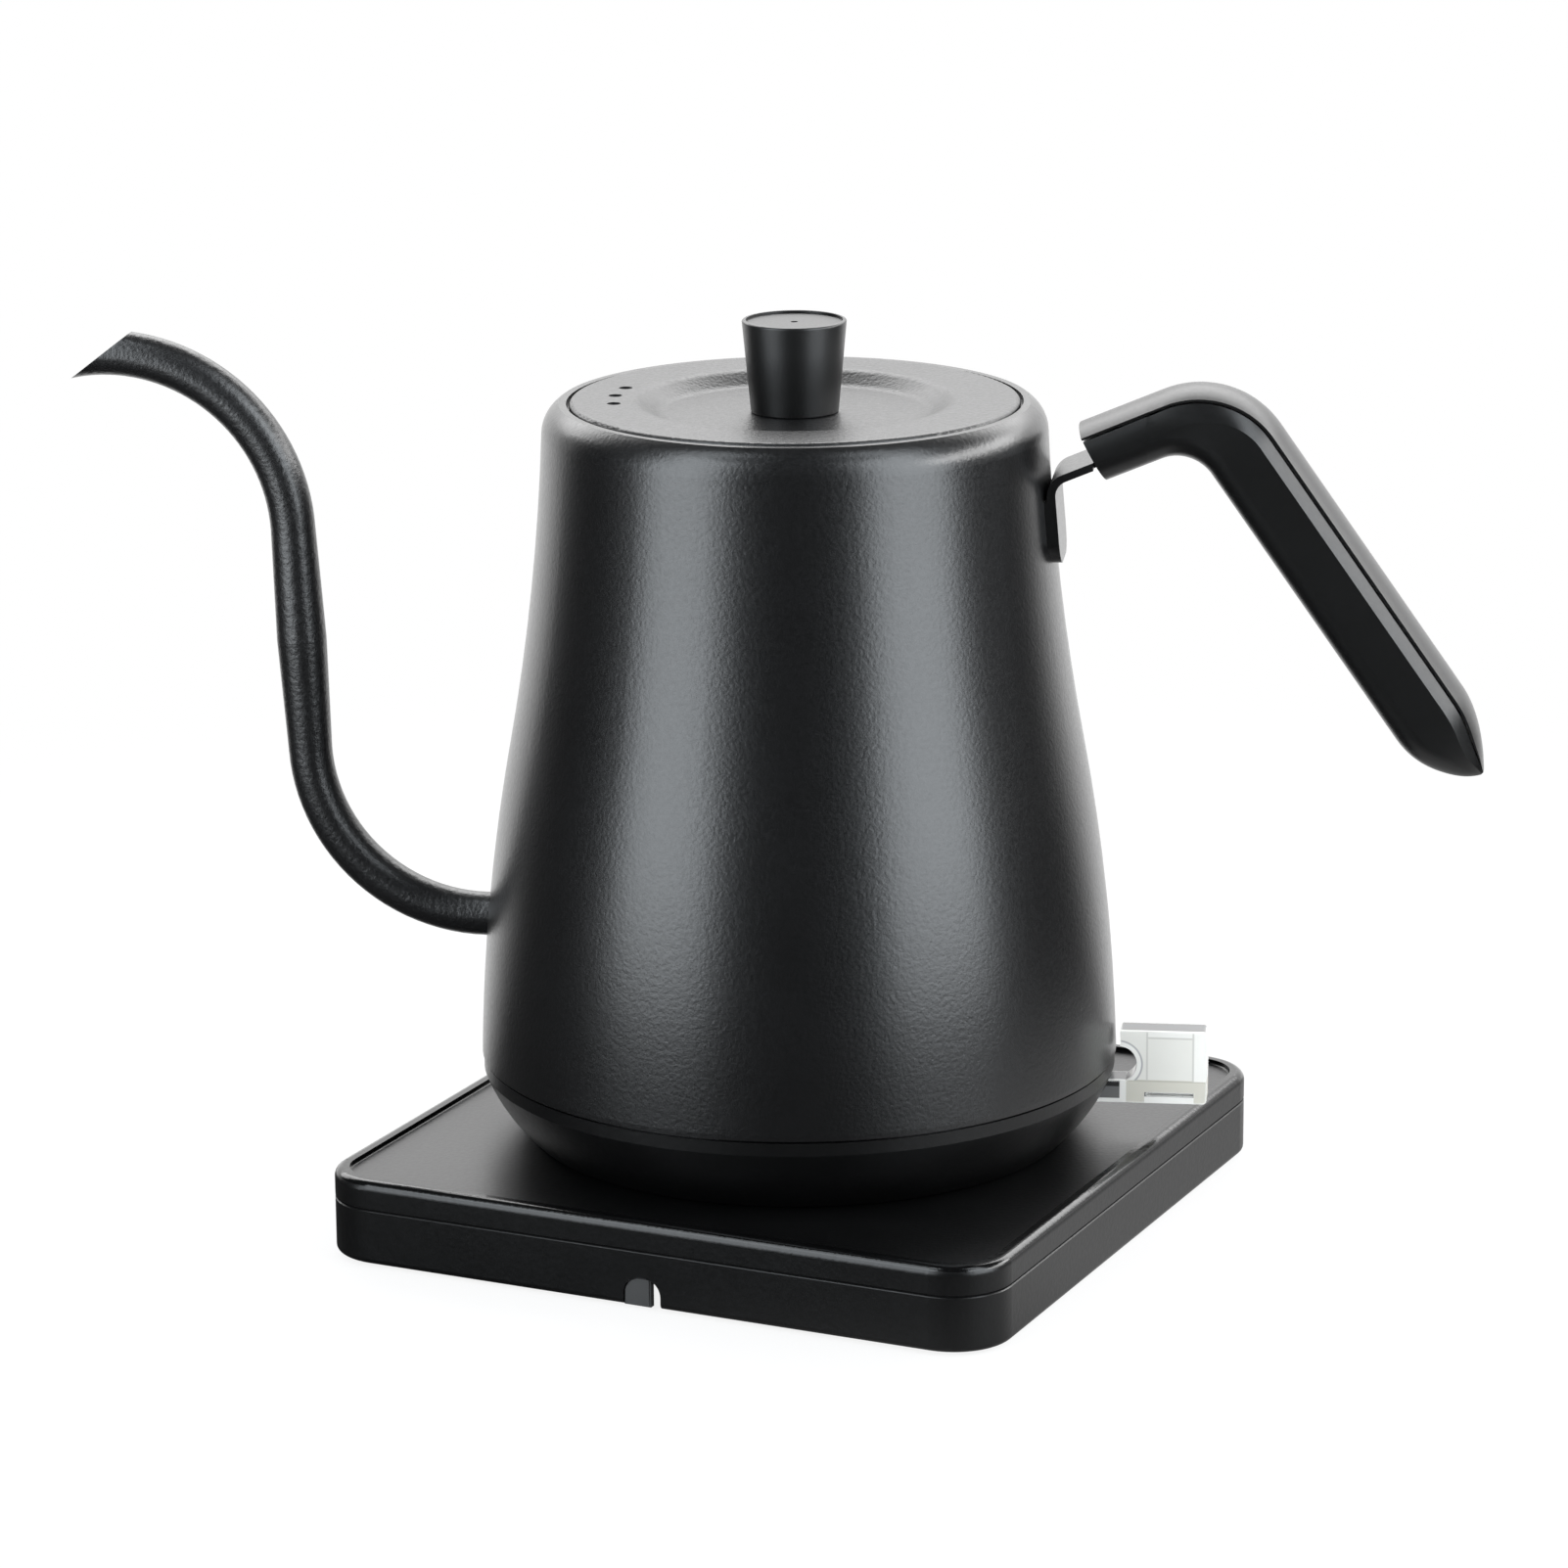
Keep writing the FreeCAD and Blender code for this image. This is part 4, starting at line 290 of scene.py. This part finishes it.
patches = (
    (BAND_X, BAND_Z, BAND_BEIGE), (BAND_X, FOLD_SHADE_Z, FOLD_SHADE_GREY),
    (GROOVE_X, LIP_HIGHLIGHT_Z, HIGHLIGHT_WHITE), (GROOVE_X, GROOVE_Z, GROOVE_SHADE_GREY),
    (RIGHT_HIGHLIGHT_X, FACE_Z, HIGHLIGHT_WHITE), (TOP_LINE_X, TOP_HIGHLIGHT_Z, HIGHLIGHT_WHITE),
    (RIGHT_LINE_X, FACE_Z, LINE_GREY), (LEFT_LINE_X, FACE_Z, LINE_GREY),
    (TOP_LINE_X, TOP_LINE_Z, LINE_GREY),
    (ARM_X, ARM_Z, ARM_SHADE_GREY), (ARM_X, ARM_SHADOW_Z, ARM_SHADOW_DARK), (ARM_X, ARM_HIGHLIGHT_Z, HIGHLIGHT_WHITE),
    (POST_HIGHLIGHT_X, ARM_Z, HIGHLIGHT_WHITE))
print("tones laid by place:", len(patches))

# %% [markdown]
# ## Masks
#
# A mask is a value from 0 to 1 that says where a tone lies. A picture painted for the switch would need
# unwrapping, and would blur where its tones meet. Masks worked out from the place of each point stay
# sharp, and move with the piece. The helpers below do the arithmetic with nodes: a span of one
# coordinate, a ring about an axis, and a colour laid over another by a mask.

# %% Helpers for masks
SOFT = 0.00012


def joined(tree, operation, first, second):
    """One step of arithmetic on two values, each a socket or a number."""
    step = tree.nodes.new("ShaderNodeMath")
    step.operation = operation
    for place, value in enumerate((first, second)):
        if isinstance(value, (int, float)):
            step.inputs[place].default_value = value
        else:
            tree.links.new(value, step.inputs[place])
    return step.outputs[0]


def faded(tree, value, start, stop, low, high):
    """A value that goes smoothly from low at start to high at stop."""
    fade = tree.nodes.new("ShaderNodeMapRange")
    fade.interpolation_type = "SMOOTHSTEP"
    settings = {"From Min": start, "From Max": stop, "To Min": low, "To Max": high}
    for socket, number in settings.items():
        fade.inputs[socket].default_value = number
    tree.links.new(value, fade.inputs["Value"])
    return fade.outputs["Result"]


def parts_of(tree, vector):
    """The three parts of a place or a direction."""
    split = tree.nodes.new("ShaderNodeSeparateXYZ")
    tree.links.new(vector, split.inputs["Vector"])
    return split.outputs["X"], split.outputs["Y"], split.outputs["Z"]


def within(tree, value, span):
    """1 inside a span and 0 outside it, with soft ends."""
    low, high = span
    rising = faded(tree, value, low - SOFT, low, 0.0, 1.0)
    return joined(tree, "MULTIPLY", rising, faded(tree, value, high, high + SOFT, 1.0, 0.0))


def laid_over(tree, under, share, colour):
    """A colour laid over another by a share from 0 to 1."""
    layer = tree.nodes.new("ShaderNodeMixRGB")
    layer.inputs["Color2"].default_value = (*colour, 1.0)
    tree.links.new(share, layer.inputs["Fac"])
    tree.links.new(under, layer.inputs["Color1"])
    return layer.outputs["Color"]


def ringed(tree, position, centre, span):
    """1 within a span of distances from an axis that runs along Y, and 0 elsewhere."""
    flat = tree.nodes.new("ShaderNodeVectorMath")
    flat.operation = "MULTIPLY"
    flat.inputs[1].default_value = (1.0, 0.0, 1.0)
    tree.links.new(position, flat.inputs[0])
    reach = tree.nodes.new("ShaderNodeVectorMath")
    reach.operation = "DISTANCE"
    reach.inputs[1].default_value = centre
    tree.links.new(flat.outputs["Vector"], reach.inputs[0])
    return within(tree, reach.outputs["Value"], span)


# %% Finish the switch
# The Bevel node's edges get a painted white highlight.
EDGE_HIGHLIGHT_WIDTH = 0.0006
EDGE_HIGHLIGHT_TURN = (0.93, 0.99)
UPWARD_TURN = (0.6, 0.9)
TOP_SHADE_Y = (-0.0021, 0.004)
# Painted shade on the switch's top face.
TOP_SHADE_GREY = grey(0.24)
ROUND_CENTRE = (0.0648, 0.0, 0.0316)
ROUND_HIGHLIGHT_WIDTH = 0.0047
ROUND_GREY = grey(0.50)
round_highlight_and_line = (((0.0, ROUND_HIGHLIGHT_WIDTH), HIGHLIGHT_WHITE), ((ROUND_HIGHLIGHT_WIDTH, ROUND_HIGHLIGHT_WIDTH + FINE_LINE), ROUND_GREY))

clear_plastic = make_finish("clear_plastic", (0.86, 0.85, 0.80), (0.90, 0.89, 0.84), rough=(0.16, 0.24),
                            grain=1200.0, bump=0.02, Transmission_Weight=0.25, IOR=1.46)
tree = clear_plastic.node_tree
shader = tree.nodes["Principled BSDF"]
normal = tree.nodes.new("ShaderNodeNewGeometry").outputs["Normal"]
rounded = tree.nodes.new("ShaderNodeBevel")
rounded.inputs["Radius"].default_value = EDGE_HIGHLIGHT_WIDTH
turn = tree.nodes.new("ShaderNodeVectorMath")
turn.operation = "DOT_PRODUCT"
tree.links.new(normal, turn.inputs[0])
tree.links.new(rounded.outputs["Normal"], turn.inputs[1])
edges = faded(tree, turn.outputs["Value"], *EDGE_HIGHLIGHT_TURN, 1.0, 0.0)
place = tree.nodes.new("ShaderNodeTexCoord").outputs["Object"]
across, along, level = parts_of(tree, place)
upward = faded(tree, parts_of(tree, normal)[2], *UPWARD_TURN, 0.0, 1.0)
top = joined(tree, "MULTIPLY", upward, within(tree, along, TOP_SHADE_Y))
above_fold = within(tree, level, FACE_Z)
colour = shader.inputs["Base Color"].links[0].from_socket
for span_x, span_z, tone in patches:
    patch = joined(tree, "MULTIPLY", within(tree, across, span_x), within(tree, level, span_z))
    colour = laid_over(tree, colour, patch, tone)
for span, tone in round_highlight_and_line:
    ring = joined(tree, "MULTIPLY", ringed(tree, place, ROUND_CENTRE, span), above_fold)
    colour = laid_over(tree, colour, ring, tone)
# Upward faces get a painted highlight, the top painted shade over it, and the edges a painted highlight.
for share, tone in ((upward, HIGHLIGHT_WHITE), (top, TOP_SHADE_GREY), (edges, HIGHLIGHT_WHITE)):
    colour = laid_over(tree, colour, share, tone)
tree.links.new(colour, shader.inputs["Base Color"])
dress(clear_plastic, "switch_lever")

# %% [markdown]
# ## The rim of the base
#
# The raised rim round the base's top is smoother than the panel inside it, as a mould's edge is when it
# has been polished, so it draws a finer line of light. A second material would end in a hard step, so
# the base's own finish is made again for the cover, and gets smoother above the panel's height.

# %% Polish the rim
RIM_Z = (0.0167, 0.0180)
RIM_POLISH = 0.17

cover_plastic = moulded_black("cover_plastic")
tree = cover_plastic.node_tree
shader = tree.nodes["Principled BSDF"]
height = parts_of(tree, tree.nodes.new("ShaderNodeTexCoord").outputs["Object"])[2]
polish = joined(tree, "MULTIPLY", within(tree, height, RIM_Z), RIM_POLISH)
grained = shader.inputs["Roughness"].links[0].from_socket
tree.links.new(joined(tree, "SUBTRACT", grained, polish), shader.inputs["Roughness"])
dress(cover_plastic, "base_cover")

# %% [markdown]
# ## The base's seam, with painted shade
#
# Cover and tray of the base meet in a fine groove that runs all round. Its upper half is shade, painted
# as a dark line by a thin matt black wedge set inside the gap. A row of little blocks would leave joints,
# so one wedge is swept round the rounded square: three points for the wedge at each step, joined to the
# next step by faces.

# %% Walk round the base
BASE_HALF = 0.0725
BASE_CORNER = 0.012
BASE_TURN = math.radians(-18.3)
CORNER_STEPS = 10


def add_piece(name, mesh, material, body):
    """Put a piece that only this script has on a body of the frame."""
    piece = bpy.data.objects.new(name, mesh)
    bpy.context.collection.objects.link(piece)
    mesh.materials.append(material)
    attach(piece, body)
    print(name, "with", len(mesh.polygons), "faces rides on", body)


def corner_steps():
    """Every step round the square: the corner it turns about, and its direction."""
    reach = BASE_HALF - BASE_CORNER
    for corner in range(4):
        middle = math.radians(90 * corner + 45)
        centre = (math.copysign(reach, math.cos(middle)), math.copysign(reach, math.sin(middle)))
        for step in range(CORNER_STEPS + 1):
            angle = math.radians(90 * (corner + step / CORNER_STEPS))
            yield centre, (math.cos(angle), math.sin(angle))


# %% Sweep the seam's painted shade strip
SEAM_Z = 0.0117
SEAM_DEPTH = 0.00035
SHADE_STRIP_BACK = 0.00005

shade_wedge = ((SHADE_STRIP_BACK, 0.0), (SHADE_STRIP_BACK, SEAM_DEPTH - SHADE_STRIP_BACK), (SEAM_DEPTH, 0.0))
sides = len(shade_wedge)
shade_points = []
for centre, way in corner_steps():
    for depth, rise in shade_wedge:
        spot = Vector((centre[0], centre[1], SEAM_Z + rise))
        shade_points.append(spot + Vector((*way, 0.0)) * (BASE_CORNER - depth))
steps = len(shade_points) // sides
shade_faces = []
for step in range(steps):
    here = sides * step
    there = sides * ((step + 1) % steps)
    for edge in range(sides):
        following = (edge + 1) % sides
        shade_faces.append((here + edge, there + edge, there + following, here + following))
shade_strip_mesh = bpy.data.meshes.new("seam_shade_strip")
shade_strip_mesh.from_pydata([Matrix.Rotation(BASE_TURN, 3, "Z") @ point for point in shade_points], [], shade_faces)
# A near-black sheet that paints the shade in the seam.
seam_shade_black = make_finish("seam_shade_black", grey(0.001), grey(0.002), rough=(0.7, 0.8),
                         grain=1800.0, bump=0.1, Specular_IOR_Level=0.1)
add_piece("seam_shade_strip", shade_strip_mesh, seam_shade_black, "base")

# %% [markdown]
# ## A plate of painted shade in the notch
#
# The base has an arched notch at the foot of its front. A small grey plate closes most of it, just
# behind the front, and leaves a slot on the right; its grey is painted shade for the shaded inside of the
# notch. It follows the notch's own arch, so its outline is drawn from the same width, height and round,
# pulled out to a thickness and given a small bevel, which catches the light along the arch.

# %% Make the notch's painted shade plate
NOTCH_HALF = 0.004
NOTCH_LOW = 0.0004
NOTCH_HIGH = 0.0064
NOTCH_ROUND = 0.0036
PLATE_END = 0.0017
PLATE_BACK = 0.0003
PLATE_THICK = 0.0016
PLATE_BEVEL = 0.0003
BEVEL_STEPS = 2
ARCH_STEPS = 10

arch_z = NOTCH_HIGH - NOTCH_ROUND
arch_x = NOTCH_HALF - NOTCH_ROUND
last_angle = math.acos((PLATE_END - arch_x) / NOTCH_ROUND)
outline = [(PLATE_END, NOTCH_LOW), (-NOTCH_HALF, NOTCH_LOW)]
for start, stop, side in ((math.pi, math.pi / 2, -arch_x), (math.pi / 2, last_angle, arch_x)):
    for step in range(ARCH_STEPS + 1):
        angle = start + (stop - start) * step / ARCH_STEPS
        outline.append((side + NOTCH_ROUND * math.cos(angle), arch_z + NOTCH_ROUND * math.sin(angle)))

plate = bmesh.new()
front_y = PLATE_BACK - BASE_HALF
front = plate.faces.new([plate.verts.new((x, front_y, z)) for x, z in outline])
pulled = bmesh.ops.extrude_face_region(plate, geom=[front], use_keep_orig=True)
back_points = [item for item in pulled["geom"] if isinstance(item, bmesh.types.BMVert)]
bmesh.ops.translate(plate, vec=(0.0, PLATE_THICK, 0.0), verts=back_points)
bmesh.ops.bevel(plate, geom=list(front.edges), offset=PLATE_BEVEL, segments=BEVEL_STEPS, affect="EDGES")
bmesh.ops.recalc_face_normals(plate, faces=plate.faces)
bmesh.ops.rotate(plate, cent=(0, 0, 0), matrix=Matrix.Rotation(BASE_TURN, 3, "Z"), verts=plate.verts)
shade_plate_mesh = bpy.data.meshes.new("notch_shade_plate")
plate.to_mesh(shade_plate_mesh)
plate.free()
# The plate's dark grey is painted shade for the inside of the notch.
notch_shade_grey = make_finish("notch_shade_grey", grey(0.038), grey(0.05), rough=(0.45, 0.55), grain=2200.0, bump=0.1)
add_piece("notch_shade_plate", shade_plate_mesh, notch_shade_grey, "base")

# %% [markdown]
# ## The floor
#
# The kettle stands on a white sweep, a sheet that runs on past the edges of the picture. One large square
# is enough for it, since it has no horizon to show. It lies a hair below the feet, so that the two never
# share a plane.

# %% Lay the floor
FLOOR_SIZE = 6.0
FLOOR_DROP = 0.0002

half = FLOOR_SIZE / 2
floor_mesh = bpy.data.meshes.new("floor")
corners = [(-half, -half, 0), (half, -half, 0), (half, half, 0), (-half, half, 0)]
floor_mesh.from_pydata(corners, [], [(0, 1, 2, 3)])
floor = bpy.data.objects.new("floor", floor_mesh)
floor.location.z = -FLOOR_DROP
bpy.context.collection.objects.link(floor)
print("floor", FLOOR_SIZE, "m wide")

# %% [markdown]
# ## The floor's white
#
# A black glossy thing is lit by what it mirrors, so the studio is planned as a set of reflections. To
# the camera the floor is plain white, with the kettle's own soft shadow near its foot. To a mirrored ray
# it is white behind the kettle and dim before it, as a sweep is that gets its light from behind. Three
# pools of light, under the two soft boxes and beside the handle, brighten it where the lamps would.

# %% Helpers for the studio's white
def pool(tree, position, centre, near, far, strength):
    """Light that is full within near of a point on the floor and gone at far."""
    span = tree.nodes.new("ShaderNodeVectorMath")
    span.operation = "DISTANCE"
    span.inputs[1].default_value = centre
    tree.links.new(position, span.inputs[0])
    return faded(tree, span.outputs["Value"], near, far, strength, 0.0)


def white_or(tree, straight, glow):
    """Plain white for a ray that comes straight from the camera, and the given light for the rest."""
    mirrored = joined(tree, "MULTIPLY", joined(tree, "SUBTRACT", 1.0, straight), glow)
    return joined(tree, "ADD", straight, mirrored)


def facing(tree, position, axis):
    """How nearly a place, seen from the kettle, or a direction lies along an axis: 1 is straight on."""
    aim = tree.nodes.new("ShaderNodeVectorMath")
    aim.operation = "NORMALIZE"
    tree.links.new(position, aim.inputs[0])
    reach = tree.nodes.new("ShaderNodeVectorMath")
    reach.operation = "DOT_PRODUCT"
    reach.inputs[1].default_value = axis
    tree.links.new(aim.outputs["Vector"], reach.inputs[0])
    return reach.outputs["Value"]


# %% Paint the floor
FLOOR_WHITE = 0.9
FLOOR_ROUGH = 0.9
FOOT = (0, 0, 0)
SHADOW_SHARE = 0.14
SHADOW_SPAN = (0.12, 0.45)
FRONT_GLOW = 0.05
BACK_GLOW = 1.5
BACK_AXIS = (-0.12, 0.99, 0.0)
SWEEP_TURN = (0.42, 0.8)
LEFT_POOL = (-0.5, -0.5, 0.0)
RIGHT_POOL = (0.55, -0.33, 0.0)
BOX_POOL_SPAN = (0.1, 0.45)
BOX_POOL_GLOW = 0.9
GRIP_POOL = (0.11, 0.02, 0.0)
GRIP_POOL_SPAN = (0.06, 0.2)
GRIP_POOL_GLOW = 0.7

floor_paint = bpy.data.materials.new("floor_paint")
floor_paint.use_nodes = True
floor_mesh.materials.append(floor_paint)
tree = floor_paint.node_tree
paint = tree.nodes["Principled BSDF"]
paint.inputs["Base Color"].default_value = (*grey(FLOOR_WHITE), 1.0)
paint.inputs["Roughness"].default_value = FLOOR_ROUGH
position = tree.nodes.new("ShaderNodeNewGeometry").outputs["Position"]
ray = tree.nodes.new("ShaderNodeLightPath").outputs
by_left_box = pool(tree, position, LEFT_POOL, *BOX_POOL_SPAN, BOX_POOL_GLOW)
by_right_box = pool(tree, position, RIGHT_POOL, *BOX_POOL_SPAN, BOX_POOL_GLOW)
beside = pool(tree, position, GRIP_POOL, *GRIP_POOL_SPAN, GRIP_POOL_GLOW)
glow = faded(tree, facing(tree, position, BACK_AXIS), *SWEEP_TURN, FRONT_GLOW, BACK_GLOW)
for light in (by_left_box, by_right_box, beside):
    glow = joined(tree, "MAXIMUM", glow, light)
shadow_share = pool(tree, position, FOOT, *SHADOW_SPAN, SHADOW_SHARE)
white_share = joined(tree, "SUBTRACT", 1.0, shadow_share)
straight = joined(tree, "MAXIMUM", ray["Is Camera Ray"], ray["Is Transmission Ray"])
shown = joined(tree, "MAXIMUM", joined(tree, "MULTIPLY", straight, white_share), ray["Is Glossy Ray"])
emission = tree.nodes.new("ShaderNodeEmission")
tree.links.new(white_or(tree, straight, glow), emission.inputs["Strength"])
mix = tree.nodes.new("ShaderNodeMixShader")
tree.links.new(shown, mix.inputs["Fac"])
tree.links.new(paint.outputs["BSDF"], mix.inputs[1])
tree.links.new(emission.outputs["Emission"], mix.inputs[2])
tree.links.new(mix.outputs["Shader"], tree.nodes["Material Output"].inputs["Surface"])
print("floor paint with", len(tree.nodes), "nodes")

# %% [markdown]
# ## The studio's light
#
# Two tall soft boxes stand before the kettle, left and right: they are the two broad bands of light
# down its sides, and a small box over each carries its band up the shoulder. A wide bank hangs behind the
# kettle, and shows in the lid and along the edges, where even a black finish mirrors well. A box on the
# right lights the flank of the grip. The room behind the camera is left dark, which gives the dark band
# down the middle. The world is a plain backdrop, white behind and dim in front.

# %% Set the backdrop
ROOM_DIM = 0.03
BACKDROP_TURN = (0.4, 0.78)

world = bpy.data.worlds.new("studio")
world.use_nodes = True
bpy.context.scene.world = world
tree = world.node_tree
background = tree.nodes["Background"]
background.inputs["Color"].default_value = (*grey(1.0), 1.0)
ray = tree.nodes.new("ShaderNodeLightPath").outputs
straight = joined(tree, "MAXIMUM", ray["Is Camera Ray"], ray["Is Transmission Ray"])
direction = tree.nodes.new("ShaderNodeTexCoord").outputs["Generated"]
backdrop = faded(tree, facing(tree, direction, BACK_AXIS), *BACKDROP_TURN, ROOM_DIM, BACK_GLOW)
tree.links.new(white_or(tree, straight, backdrop), background.inputs["Strength"])
print("backdrop with", len(tree.nodes), "nodes")

# %% Hang the lamps
LAMP_WATTS = 4.0
DAYLIGHT = (0.94, 1.0, 1.05)
BOX_MIDDLE = (0, 0, 0.42)
SHOULDER = (0, 0, 0.13)
BELLY = (0, 0, 0.1)
GRIP = (0.13, 0, 0.1)


def soft_box(name, at, towards, width, height, brightness, tint=(1.0, 1.0, 1.0)):
    """A large soft light that faces a point and that the camera doesn't see."""
    data = bpy.data.lights.new(name, "AREA")
    data.color = tint
    data.shape = "RECTANGLE"
    data.size = width
    data.size_y = height
    data.energy = brightness * LAMP_WATTS * width * height
    lamp = bpy.data.objects.new(name, data)
    lamp.location = at
    lamp.rotation_euler = (Vector(towards) - Vector(at)).to_track_quat("-Z", "Y").to_euler()
    lamp.visible_camera = False
    bpy.context.collection.objects.link(lamp)
    print(name, round(data.energy, 1), "W")


soft_box("left_box", at=(-0.424, -0.455, 0.42), towards=BOX_MIDDLE,
         width=0.40, height=0.84, brightness=3.65, tint=DAYLIGHT)
soft_box("right_box", at=(0.522, -0.333, 0.42), towards=BOX_MIDDLE,
         width=0.43, height=0.84, brightness=3.8, tint=DAYLIGHT)
soft_box("left_top", at=(-0.270, -0.200, 0.68), towards=SHOULDER,
         width=0.20, height=0.30, brightness=2.6, tint=DAYLIGHT)
soft_box("right_top", at=(0.320, -0.120, 0.68), towards=SHOULDER,
         width=0.20, height=0.30, brightness=2.6, tint=DAYLIGHT)
soft_box("back_bank", at=(-0.05, 0.78, 0.76), towards=BELLY, width=2.6, height=0.53, brightness=2.7)
soft_box("grip_box", at=(0.737, 0.118, 0.43), towards=GRIP, width=0.75, height=0.25, brightness=6.0)

# %% [markdown]
# ## The view
#
# The standard view shows a colour as it is written, where a film-like view would soften the white.

# %% Finish
bpy.context.scene.view_settings.view_transform = "Standard"
